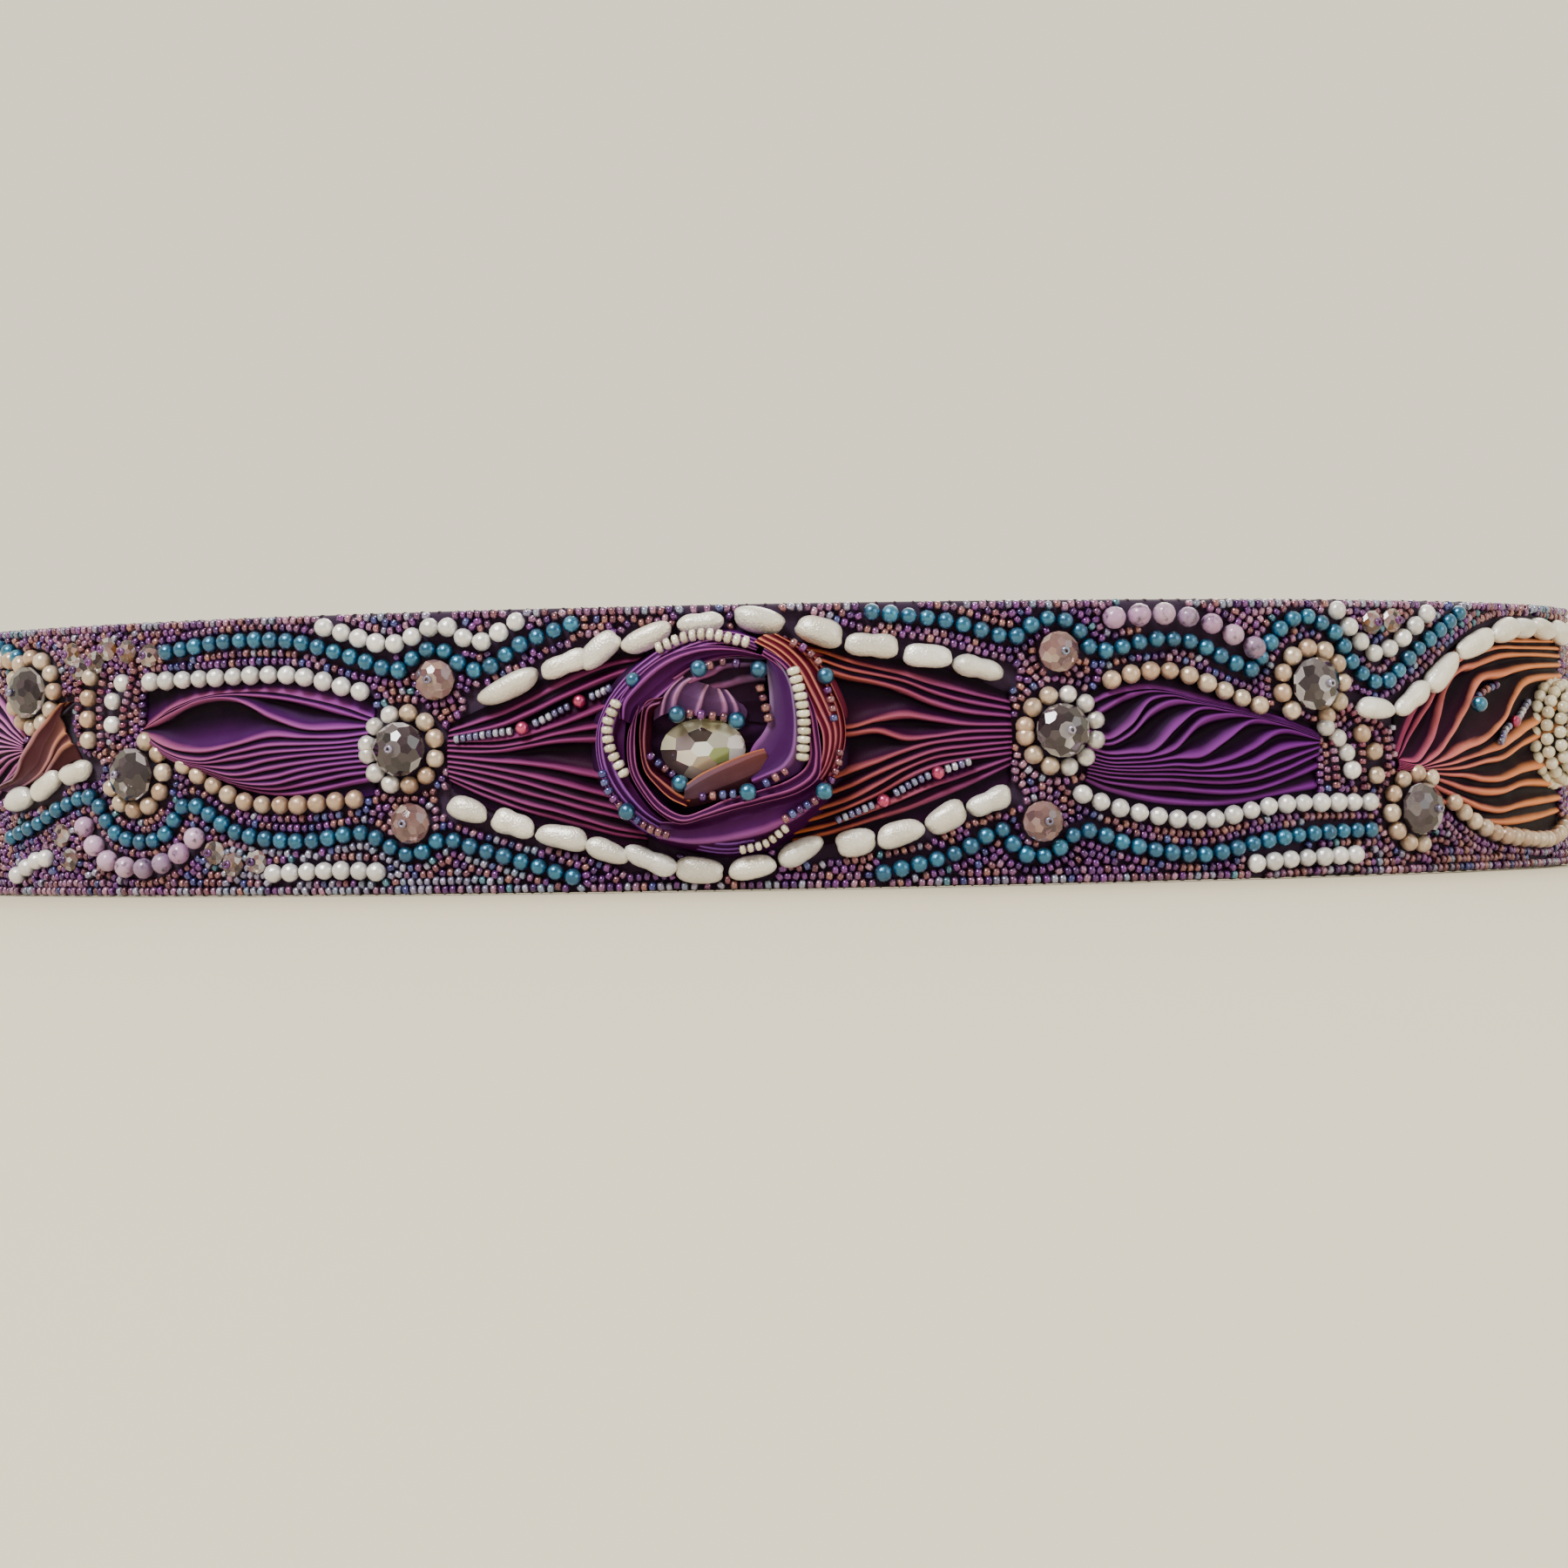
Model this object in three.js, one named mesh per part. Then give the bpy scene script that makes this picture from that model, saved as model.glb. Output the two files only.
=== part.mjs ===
// A bride's sash: pleated silk panels, a silk rosette, pearls and crystals on a backing cloth.
// Millimetres, +Z up. The waist is an ellipse round the Z axis and the rosette faces -Y.
// Every piece is laid out flat as [u, v, h] and then bent round the waist:
// u runs along the sash from the rosette, v runs up, and h stands out from the backing.
import * as THREE from "three";

// Waist and cloth
const WAIST_A = 155; // half width of the backing's outer face
const WAIST_B = 106; // half depth of the backing's outer face
const BAND_HALF = 187; // rosette to the end of the front band
const BAND_TALL = 47.6;
const BAND_WALL = 2.4;
const STRAP_TALL = 41;
const STRAP_WALL = 2;
const STRAP_LAP = 15; // how far each strap runs past the centre back
const LAP_LIFT = 3.6; // the outer strap stands this far off where the straps overlap
const LAP_RAMP = 26; // length over which it rises
const SEAM = 0.3; // space between neighbouring pieces
const SILK_WALL = 1.1;

// Width, pitch and sides of each kind of bead row. A ring of the row lies at each part of the
// pitch in swell, with its share of the width.
const BEADS = {
  teal: { wide: 2.7, pitch: 4.5, sides: 6, colour: "teal", swell: [[0, 1]] },
  white: { wide: 3.1, pitch: 3.4, sides: 5, colour: "white", swell: [[0, 1], [0.5, 0.55]] },
  cream: { wide: 3.1, pitch: 3.4, sides: 5, colour: "cream", swell: [[0, 1], [0.5, 0.55]] },
  mauve: { wide: 3.8, pitch: 4.2, sides: 5, colour: "mauve", swell: [[0, 1], [0.5, 0.5]] },
  rice: {
    wide: 4.4,
    pitch: 8.7,
    sides: 6,
    colour: "white",
    swell: [[0.1, 0.7], [0.35, 1], [0.65, 1], [0.9, 0.7]],
  },
};

// Colour, roughness and metalness
const FINISH = {
  cloth: [0x2b1622, 0.9, 0],
  teal: [0x1f5f5c, 0.3, 0.2],
  white: [0xe6e1d8, 0.3, 0],
  cream: [0xd9b58b, 0.3, 0],
  mauve: [0x6b5064, 0.5, 0],
  crystal: [0x77706c, 0.1, 0.2],
  rosy: [0x9c7674, 0.1, 0.2],
  stone: [0xcfc6ba, 0.1, 0.4],
  metal: [0x8d8d90, 0.35, 1],
  plum: [0x7e3459, 0.6, 0],
  magenta: [0x9c2f5f, 0.6, 0],
  coral: [0xb5556b, 0.6, 0],
  violet: [0x5f4796, 0.6, 0],
  amber: [0xb1683a, 0.6, 0],
  rose: [0xa04f74, 0.6, 0],
  umber: [0x75462f, 0.7, 0],
  indigo: [0x47408c, 0.6, 0],
};

// Rows of beads, each along a spline through its [u, v] points
const ROWS = [
  { name: "teal_upper_left", kind: "teal", path: [[-99.4, 18.4], [-86.5, 19.8], [-73.6, 19.4],
    [-61.4, 16.1], [-54, 14], [-50.6, 16.6], [-46.8, 17.4], [-43.2, 14.8], [-39.6, 13.6],
    [-32.7, 17.8], [-24, 21]] },
  { name: "teal_lower_left", kind: "teal", path: [[-141.5, -13.4], [-133.4, -11.2], [-124.7, -7.8],
    [-117.6, -6.6], [-112.6, -12.4], [-106, -14.4], [-100.6, -13.2], [-95.6, -8], [-85.1, -13],
    [-72.5, -14.6], [-60.3, -13.4], [-57.4, -15], [-52, -17.2], [-46.9, -14.6], [-40.8, -16.2],
    [-24.5, -21.2]] },
  { name: "teal_upper_right", kind: "teal", path: [[25.7, 22], [38.6, 20.3], [49.6, 17.6],
    [53.2, 20], [57, 20.6], [60.8, 18.2], [63, 15.2], [74.3, 17], [81.3, 16.3], [87.5, 13.3],
    [92, 11.8], [94.4, 15], [98.2, 19.3], [102.2, 20.8], [108.7, 17.8], [112.4, 12.6],
    [117, 9.6], [120.6, 10], [124.9, 13.7], [132.8, 18.7], [138, 21.6]] },
  { name: "teal_lower_right", kind: "teal", path: [[26.9, -21.4], [39.4, -18.2], [47, -14.6],
    [49.3, -18], [53, -19.2], [57.4, -17.2], [60.2, -15], [69.9, -17.8], [82, -19.5],
    [93.9, -17.4], [105.9, -16.2], [115.6, -16]] },
  { name: "white_upper_left", kind: "white", path: [[-67.5, 21.6], [-55.9, 18.4], [-52.9, 19],
    [-46.5, 21.4], [-41.4, 18.6], [-39.4, 18.4], [-33.4, 21.6]] },
  { name: "white_lens_left", kind: "white", path: [[-103, 13.4], [-91.3, 13.6], [-73.2, 13.6],
    [-61, 10.6]] },
  { name: "white_lower_left", kind: "white", path: [[-78, -20], [-65, -19.6], [-58.6, -19.9]] },
  { name: "white_lens_right", kind: "white", path: [[60.6, -8.9], [66.2, -11.1], [78.3, -13.5],
    [83.9, -13.5], [96.2, -11.4], [115.4, -11.2]] },
  { name: "white_lower_right", kind: "white", path: [[92, -21.2], [100, -20.6], [112, -20.2]] },
  { name: "white_arch", kind: "white", path: [[109, 21.8], [113.6, 16.8], [117.4, 14.4],
    [121.2, 15.8], [129.4, 21.4]] },
  { name: "cream_lens_left", kind: "cream", path: [[-96, -1.2], [-89.5, -5], [-83.4, -7.7],
    [-74, -8.4], [-62.4, -7.6]] },
  { name: "cream_lens_right", kind: "cream", path: [[66, 10.2], [71.4, 11.5], [77.8, 11.4],
    [84.6, 8.9], [93, 5.6]] },
  { name: "cream_outer_right", kind: "cream", path: [[135.6, -11.6], [140.3, -14.6],
    [147, -17.1], [155.2, -18.2], [170, -18.6], [180, -16]] },
  { name: "cream_outer_left", kind: "cream", path: [[-140.6, 18.4], [-152, 18.8], [-164, 14],
    [-173, 5], [-176.6, -4]] },
  { name: "cream_left", kind: "cream", path: [[-117.4, 14.6], [-118.2, 9.4], [-118.2, 3.6]] },
  { name: "white_left", kind: "white", path: [[-109.6, 13.4], [-111.9, 10.8], [-112.2, 6.2]] },
  { name: "white_right", kind: "white", path: [[106.2, 1.8], [109.8, -1.2], [111.6, -5.6]] },
  { name: "cream_right", kind: "cream", path: [[113.8, 0.6], [116.4, -2.4], [117, -6.6]] },
  { name: "mauve_right", kind: "mauve", path: [[66.5, 20.6], [75.8, 21.2], [84.5, 19.4],
    [92, 15.4]] },
  { name: "mauve_left", kind: "mauve", path: [[-119.4, -11.6], [-114.4, -17.2], [-105.2, -19],
    [-97.4, -16.6], [-93.8, -13.8]] },
  { name: "rice_left", kind: "rice", path: [[-142, -7.2], [-129.8, -5], [-124.6, -2.2],
    [-117.6, -1.6]] },
  { name: "rice_upper_left", kind: "rice", path: [[-40.4, 8.4], [-33.2, 11], [-26.2, 14.2],
    [-20.6, 16]] },
  { name: "rice_upper_right", kind: "rice", path: [[13, 20.4], [25, 16.2], [33.8, 15],
    [47.6, 11.2]] },
  { name: "rice_lower_left", kind: "rice", path: [[-45.6, -8.4], [-34.6, -12.2], [-20, -16.2],
    [-15, -18.4]] },
  { name: "rice_lower_right", kind: "rice", path: [[19, -16.8], [33.7, -14], [40, -11.2],
    [48.4, -8.8]] },
  { name: "rice_outer_right", kind: "rice", path: [[112.4, 5.6], [120.2, 4.2], [127.2, 7.5],
    [140.2, 15.9], [148.7, 18.7], [161, 19.4], [181, 18.8]] },
];

// Faceted crystals at [u, v]. The pearls round a large one run from first to last, in degrees.
const CRYSTALS = [
  { name: "centre_left", at: [-53.7, 0.7], wide: 8, kind: "cream", first: -172, last: 172 },
  { name: "centre_right", at: [57.1, 1.8], wide: 8, kind: "cream", first: -172, last: 172 },
  { name: "lens_left", at: [-106.8, -2.6], wide: 8, kind: "white", first: -158, last: 66 },
  { name: "lens_right", at: [103.6, 9.2], wide: 8, kind: "white", first: -62, last: 226 },
  { name: "outer_left", at: [-133.5, 12.4], wide: 8, kind: "cream", first: -156, last: 156 },
  { name: "outer_right", at: [126.4, -12.6], wide: 8, kind: "cream", first: 60, last: 280 },
  { name: "upper_left", at: [-47.4, 12.2], wide: 6 },
  { name: "lower_left", at: [-52.2, -11.8], wide: 6 },
  { name: "upper_right", at: [56.8, 15], wide: 6 },
  { name: "lower_right", at: [53.6, -13.3], wide: 6 },
];
const RING_RADIUS = 6.2;
// Radius as a share of the crystal's width, and height as a share of its thickness
const CRYSTAL_PROFILE = [[0.3, 0], [0.5, 0.36], [0.5, 0.6], [0.3, 1]];
const CRYSTAL_TALL = 0.6; // thickness as a share of its width

// Pleated silk panels between a lower and an upper edge of [u, v] points
const PANELS = [
  {
    name: "lens_left",
    colour: "plum",
    pleats: 7,
    puff: 2.3,
    lower: [[-102.6, 4], [-97, 2.4], [-89, -1.8], [-82, -5], [-73, -5.8], [-62.4, -4]],
    upper: [[-102.6, 6.6], [-98, 9.6], [-90, 10.8], [-79, 10.9], [-70, 9.4], [-62.2, 4.8]],
  },
  {
    name: "lens_right",
    colour: "violet",
    pleats: 7,
    puff: 2.1,
    lower: [[65.6, -3.6], [69, -7], [76, -10.4], [85, -10.6], [95, -8.8], [106.6, -8.4]],
    upper: [[65.6, 5], [69, 7.2], [75.7, 8.4], [84, 5.8], [92, 2.8], [103, -0.8]],
  },
  {
    name: "fan_inner_left",
    colour: "magenta",
    pleats: 7,
    puff: 1.7,
    lower: [[-44.8, -3.4], [-38.6, -7.4], [-32, -9.8], [-23.6, -12]],
    upper: [[-45, 3.4], [-38.3, 6.2], [-30, 9.6], [-22.6, 11.8]],
  },
  {
    name: "fan_inner_right",
    colour: "coral",
    pleats: 7,
    puff: 1.7,
    lower: [[23.8, -12], [29, -12], [36, -9.6], [48.4, -4.4]],
    upper: [[21, 14.2], [28, 12.6], [36, 11.4], [48.4, 6]],
  },
  {
    name: "fan_outer_right",
    colour: "amber",
    pleats: 7,
    puff: 1.7,
    lower: [[122, -4], [131, -5.4], [138, -10.2], [147, -13.8], [160.4, -14.8]],
    upper: [[121.2, 0.6], [129, 5.4], [137, 10.4], [146, 14.4], [160, 15.4]],
  },
  {
    name: "fan_outer_left",
    colour: "rose",
    pleats: 7,
    puff: 1.7,
    lower: [[-171, -9], [-163, -13.6], [-153, -13.6], [-145.6, -8.6]],
    upper: [[-172.4, -0.6], [-165, 8.6], [-156, 14.4], [-145, 13.4]],
  },
  {
    name: "knot_left",
    colour: "umber",
    pleats: 3,
    puff: 1.5,
    lower: [[-140.8, -2.8], [-134.6, -2.2], [-128, 1.4], [-122.2, 2]],
    upper: [[-142, 3.6], [-136, 3.2], [-127, 3.9], [-122.6, 7.8]],
  },
];
const PANEL_STATIONS = 12;
const PLEAT_MOST = 1.5; // height of a pleat's ridge where there is room for it
const PLEAT_SHARE = 0.4; // height of a ridge as a share of the pleat's width, where there is less

// Wraps of the rosette on rings of an ellipse: first and last angle in degrees, inner and outer
// radius as a share of the rosette's, and the height of the cloth inside, on top and outside
const ROSETTE_WIDE = 22;
const ROSETTE_TALL = 18.9;
const ROSETTE_CENTRE = [0.3, 0.4];
const STONE_CENTRE = [-2.2, -0.3];
const WRAPS = [
  { name: "outer_left", colour: "violet", pleats: 4, first: 74, last: 211, inner: 0.68, outer: 1,
    heights: [5, 8.2, 1.5] },
  { name: "petal", colour: "plum", pleats: 1, first: 214.5, last: 300, inner: 0.66, outer: 1,
    heights: [6, 8.8, 1.5] },
  { name: "outer_right", colour: "amber", pleats: 5, first: -57, last: 71, inner: 0.69, outer: 1,
    heights: [5, 8, 1.5] },
  { name: "middle", colour: "coral", pleats: 2, first: 80, last: 318, inner: 0.37, outer: 0.64,
    heights: [5.4, 9.6, 1.5] },
  { name: "fold", colour: "indigo", pleats: 2, first: -40, last: 76.5, inner: 0.37, outer: 0.66,
    heights: [5.4, 9.8, 1.5] },
];
const WRAP_STEP = 12; // degrees between two sections of a wrap
const WRAP_PLEAT = 0.9;

// Radius and height
const STONE_PROFILE = [[4.4, SEAM], [7, 4.4], [6.4, 5.6], [3.6, 6.9]];
const STONE_SQUEEZE = 0.72; // height of the oval as a share of its width
const DOME_CENTRE = [172.6, 0.6];
const DOME_PROFILE = [[9.6, SEAM], [9.4, 2.6], [7.4, 5.4], [4, 7.2]];
const HOOK_PROFILE = [[7, SEAM], [7, LAP_LIFT - STRAP_WALL - SEAM]];
const HOOK_SQUEEZE = 2.2;

// Distance along the ellipse at each of TURNS angles from the rosette
const TURNS = 4800;
const TURN_MOST = 1.2 * Math.PI;
const along = [0];
for (let i = 1; i <= TURNS; i++) {
  const turn = ((i - 0.5) / TURNS) * TURN_MOST;
  const speed = Math.hypot(WAIST_A * Math.cos(turn), WAIST_B * Math.sin(turn));
  along.push(along[i - 1] + (speed * TURN_MOST) / TURNS);
}
const HALF_ROUND = along[TURNS / 1.2];

// The ellipse's angle at a distance u along the backing's outer face.
function angleAt(u) {
  const distance = Math.abs(u);
  let low = 0;
  let high = TURNS;
  while (high - low > 1) {
    const middle = (low + high) >> 1;
    if (along[middle] > distance) high = middle;
    else low = middle;
  }
  const part = (distance - along[low]) / (along[high] - along[low]);
  return (Math.sign(u) * (low + part) * TURN_MOST) / TURNS;
}

// Bends a flat point round the waist.
function onWaist([u, v, h]) {
  const turn = angleAt(u);
  return [(WAIST_A + h) * Math.sin(turn), -(WAIST_B + h) * Math.cos(turn), v];
}

// A named mesh of flat points and triangles, bent round the waist and facing out.
function solid(name, colour, points, faces) {
  const bent = points.map(onWaist);
  let volume = 0;
  for (const [a, b, c] of faces) {
    const [p, q, r] = [bent[a], bent[b], bent[c]];
    volume += p[0] * (q[1] * r[2] - q[2] * r[1]);
    volume += p[1] * (q[2] * r[0] - q[0] * r[2]);
    volume += p[2] * (q[0] * r[1] - q[1] * r[0]);
  }
  const index = faces.flatMap(([a, b, c]) => (volume > 0 ? [a, b, c] : [a, c, b]));
  const geometry = new THREE.BufferGeometry();
  geometry.setAttribute("position", new THREE.Float32BufferAttribute(bent.flat(), 3));
  geometry.setIndex(index);
  geometry.computeVertexNormals();
  const [color, roughness, metalness] = FINISH[colour];
  const mesh = new THREE.Mesh(
    geometry,
    new THREE.MeshStandardMaterial({ color, roughness, metalness }),
  );
  mesh.name = name;
  return mesh;
}

// A thin cloth piece from a grid of outer points and the same grid moved in by the wall.
function cloth(name, colour, outer, wall) {
  const rows = outer.length;
  const cols = outer[0].length;
  const size = rows * cols;
  const front = outer.flat();
  const points = [...front, ...front.map(([u, v, h]) => [u, v, h - wall])];
  const faces = [];
  const quad = (a, b, c, d) => faces.push([a, b, c], [a, c, d]);
  for (let i = 0; i + 1 < rows; i++) {
    const start = i * cols;
    const next = start + cols;
    for (let j = 0; j + 1 < cols; j++) {
      quad(start + j, next + j, next + j + 1, start + j + 1);
      quad(size + start + j, size + start + j + 1, size + next + j + 1, size + next + j);
    }
    quad(next - 1, next + cols - 1, size + next + cols - 1, size + next - 1);
    quad(next, start, size + start, size + next);
  }
  for (let j = 0; j + 1 < cols; j++) {
    const last = (rows - 1) * cols + j;
    quad(j, j + 1, size + j + 1, size + j);
    quad(last + 1, last, size + last, size + last + 1);
  }
  return solid(name, colour, points, faces);
}

// A closed body from rings of flat points, with a point in the middle of each end.
function chain(name, colour, rings) {
  const sides = rings[0].length;
  const points = rings.flat();
  const faces = [];
  for (let i = 0; i + 1 < rings.length; i++)
    for (let j = 0; j < sides; j++) {
      const [a, b] = [i * sides + j, i * sides + ((j + 1) % sides)];
      faces.push([a, b, b + sides], [a, b + sides, a + sides]);
    }
  for (const ring of [0, rings.length - 1]) {
    const middle = points.length;
    points.push([0, 1, 2].map((k) => rings[ring].reduce((sum, p) => sum + p[k] / sides, 0)));
    for (let j = 0; j < sides; j++) {
      const [a, b] = [ring * sides + j, ring * sides + ((j + 1) % sides)];
      faces.push(ring === 0 ? [middle, b, a] : [middle, a, b]);
    }
  }
  return solid(name, colour, points, faces);
}

// The spline through [u, v] points.
function spline(path) {
  const knots = path.map(([u, v]) => new THREE.Vector3(u, v, 0));
  return new THREE.CatmullRomCurve3(knots, false, "centripetal");
}

// A row of beads that swells at each bead and narrows between two.
function beadRow({ name, kind, path }) {
  const { wide, pitch, sides, colour, swell } = BEADS[kind];
  const curve = spline(path);
  const count = Math.max(2, Math.round(curve.getLength() / pitch));
  const rings = [];
  for (let i = 0; i < count; i++)
    for (const [part, share] of swell) {
      const s = (i + part) / (count - 1 + swell.at(-1)[0]);
      const { x: u, y: v } = curve.getPointAt(s);
      const way = curve.getTangentAt(s);
      const ring = [];
      for (let k = 0; k < sides; k++) {
        const turn = ((k + 0.5) / sides) * 2 * Math.PI;
        const side = (wide / 2) * share * Math.cos(turn);
        const rise = (wide / 2) * (1 + share * Math.sin(turn));
        ring.push([u - way.y * side, v + way.x * side, SEAM + rise]);
      }
      rings.push(ring);
    }
  return chain(name, colour, rings);
}

// A body turned round the line that stands on the backing at [u, v].
function turned(name, colour, [u, v], profile, sides, squeeze = 1) {
  const rings = profile.map(([radius, h]) => {
    const ring = [];
    for (let k = 0; k < sides; k++) {
      const turn = ((k + 0.5) / sides) * 2 * Math.PI;
      ring.push([u + radius * Math.cos(turn), v + radius * squeeze * Math.sin(turn), h]);
    }
    return ring;
  });
  return chain(name, colour, rings);
}

// A crystal, and the open ring of pearls round a large one.
function crystal({ name, at, wide, kind, first, last }) {
  const profile = CRYSTAL_PROFILE.map(([r, h]) => [r * wide, SEAM + h * wide * CRYSTAL_TALL]);
  const bead = turned(`crystal_${name}`, kind ? "crystal" : "rosy", at, profile, 9);
  if (!kind) return [bead];
  const path = [];
  for (let i = 0; i <= 10; i++) {
    const turn = THREE.MathUtils.degToRad(first + ((last - first) * i) / 10);
    path.push([at[0] + RING_RADIUS * Math.cos(turn), at[1] + RING_RADIUS * Math.sin(turn)]);
  }
  return [bead, beadRow({ name: `ring_${name}`, kind, path })];
}

// A silk panel: pleats run from end to end, sway a little, and the middle is puffed up.
function panel({ name, colour, pleats, puff, lower, upper }) {
  const [low, high] = [spline(lower), spline(upper)];
  const grid = [];
  for (let i = 0; i < PANEL_STATIONS; i++) {
    const s = i / (PANEL_STATIONS - 1);
    const [p, q] = [low.getPoint(s), high.getPoint(s)];
    const ridge = Math.min(PLEAT_MOST, (PLEAT_SHARE * p.distanceTo(q)) / pleats);
    const swell = puff * Math.sqrt(Math.sin(Math.PI * (0.12 + 0.76 * s)));
    const line = [];
    for (let j = 0; j <= 2 * pleats; j++) {
      const t = j / (2 * pleats);
      const middle = 4 * t * (1 - t);
      const sway = t + 0.05 * middle * Math.sin(5 * s + 9 * t);
      const rise = SEAM + SILK_WALL + swell * middle + (j % 2) * ridge;
      line.push([p.x + (q.x - p.x) * sway, p.y + (q.y - p.y) * sway, rise]);
    }
    grid.push(line);
  }
  return cloth(`silk_${name}`, colour, grid, SILK_WALL);
}

// A wrap of the rosette: an arched, pleated strip round the stone that narrows at its ends.
function wrap({ name, colour, pleats, first, last, inner, outer, heights }) {
  const [inside, top, outside] = heights;
  const stations = Math.ceil((last - first) / WRAP_STEP);
  const across = 2 * pleats + 2;
  const grid = [];
  for (let i = 0; i <= stations; i++) {
    const s = i / stations;
    const turn = THREE.MathUtils.degToRad(first + (last - first) * s);
    const end = Math.min(1, 0.55 + 3 * Math.min(s, 1 - s));
    const line = [];
    for (let j = 0; j <= across; j++) {
      const t = j / across;
      const share = outer + (inner - outer) * (1 - t) * end;
      const arch = (top - Math.max(inside, outside)) * Math.sin(Math.PI * Math.min(1, 0.15 + t));
      const rise = inside + (outside - inside) * t + (arch + (j % 2) * WRAP_PLEAT) * end;
      const [u, v] = [0, 1].map((k) => STONE_CENTRE[k] + (ROSETTE_CENTRE[k] - STONE_CENTRE[k]) * share);
      const [wide, tall] = [ROSETTE_WIDE * share, ROSETTE_TALL * share];
      line.push([u + wide * Math.cos(turn), v + tall * Math.sin(turn), rise]);
    }
    grid.push(line);
  }
  return cloth(`rosette_${name}`, colour, grid, SILK_WALL);
}

// A plain length of backing cloth, with its height off the waist as a function of u.
function strip(name, from, to, tall, wall, steps, lift) {
  const grid = [];
  for (let i = 0; i <= steps; i++) {
    const u = from + ((to - from) * i) / steps;
    grid.push([-tall / 2, tall / 2].map((v) => [u, v, lift(u)]));
  }
  return cloth(name, "cloth", grid, wall);
}

// The backing: the beaded front band, and the two straps that lap and hook at the centre back.
function backing() {
  const start = BAND_HALF + SEAM;
  const end = HALF_ROUND + STRAP_LAP;
  const lap = HALF_ROUND - STRAP_LAP - LAP_RAMP - 4;
  const flat = () => 0;
  const lapped = (u) => LAP_LIFT * THREE.MathUtils.smoothstep(-u, lap, lap + LAP_RAMP);
  return [
    strip("front_band", -BAND_HALF, BAND_HALF, BAND_TALL, BAND_WALL, 70, flat),
    strip("back_strap_right", start, end, STRAP_TALL, STRAP_WALL, 44, flat),
    strip("back_strap_left", -end, -start, STRAP_TALL, STRAP_WALL, 44, lapped),
    turned("back_hook", "metal", [HALF_ROUND, 0], HOOK_PROFILE, 4, HOOK_SQUEEZE),
  ];
}

const sash = new THREE.Group();
sash.add(...backing());
sash.add(...ROWS.map(beadRow));
sash.add(...CRYSTALS.flatMap(crystal));
sash.add(...PANELS.map(panel));
sash.add(...WRAPS.map(wrap));
sash.add(turned("stone_centre", "stone", STONE_CENTRE, STONE_PROFILE, 16, STONE_SQUEEZE));
sash.add(turned("pearl_dome", "cream", DOME_CENTRE, DOME_PROFILE, 14));

export default sash;
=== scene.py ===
"""Looks of a bridal sash: pleated dyed silk, a silk rosette, pearls, crystals and seed beads.

Every piece is laid out flat as [u, v, h] in millimetres and then bent round the waist: u runs along
the sash from the rosette, v runs up, and h stands out from the backing.
"""
import itertools
import math

import bpy
import numpy as np
from mathutils import Matrix


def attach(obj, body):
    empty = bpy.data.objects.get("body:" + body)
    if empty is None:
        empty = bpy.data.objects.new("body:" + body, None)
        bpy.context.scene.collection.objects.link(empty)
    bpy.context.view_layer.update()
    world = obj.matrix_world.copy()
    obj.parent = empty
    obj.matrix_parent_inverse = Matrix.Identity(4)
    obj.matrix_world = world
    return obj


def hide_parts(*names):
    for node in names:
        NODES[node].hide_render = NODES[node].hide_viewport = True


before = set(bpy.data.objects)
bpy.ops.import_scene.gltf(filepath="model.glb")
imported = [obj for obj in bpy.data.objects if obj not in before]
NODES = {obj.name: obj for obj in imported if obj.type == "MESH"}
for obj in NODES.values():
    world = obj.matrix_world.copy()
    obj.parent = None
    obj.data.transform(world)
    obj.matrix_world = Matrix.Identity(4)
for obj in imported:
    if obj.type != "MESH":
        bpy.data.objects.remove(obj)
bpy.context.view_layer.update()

# Waist and cloth, in mm, as in the part's source
WAIST_A = 155
WAIST_B = 106
BAND_HALF = 187
BAND_TALL = 47.6
BAND_WALL = 2.4
STRAP_TALL = 41
STRAP_WALL = 2
STRAP_LAP = 15
LAP_LIFT = 3.6
LAP_RAMP = 26
SEAM = 0.3
RING_RADIUS = 6.2
CUT_SWELL = 1.12
CUT_LIFT = 0.7
ROSETTE_CENTRE = (0.3, 0.4)
ROSETTE_WIDE = 22
ROSETTE_TALL = 18.9
STONE_CENTRE = (-2.2, -0.3)
STONE_SQUEEZE = 0.72
DOME_CENTRE = (172.6, 0.6)
DOME_RADIUS = 9.6

# Silk, lining and lap, in mm
SILK_WALL = 0.45
SILK_FLOOR = 0.55
PLEAT_DEPTH = 1.7
TUCK_HEIGHT = 0.6
LINING_ROOM = 0.45
LINING_WALL = 0.5
LINING_INSET = 1.2
LINING_HEM = 2.6
LAP_CLEAR = 4

# Least side of a sheet, in metres
LEAST_SIDE = 0.0102

# Width and pitch of the beads of each kind of row
PEARLS = {
    "teal": (3.0, 3.08),
    "white": (3.3, 3.4),
    "cream": (3.3, 3.4),
    "mauve": (3.9, 4.15),
    "rice": (4.4, 8.7),
}
SEED = 1.5

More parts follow.
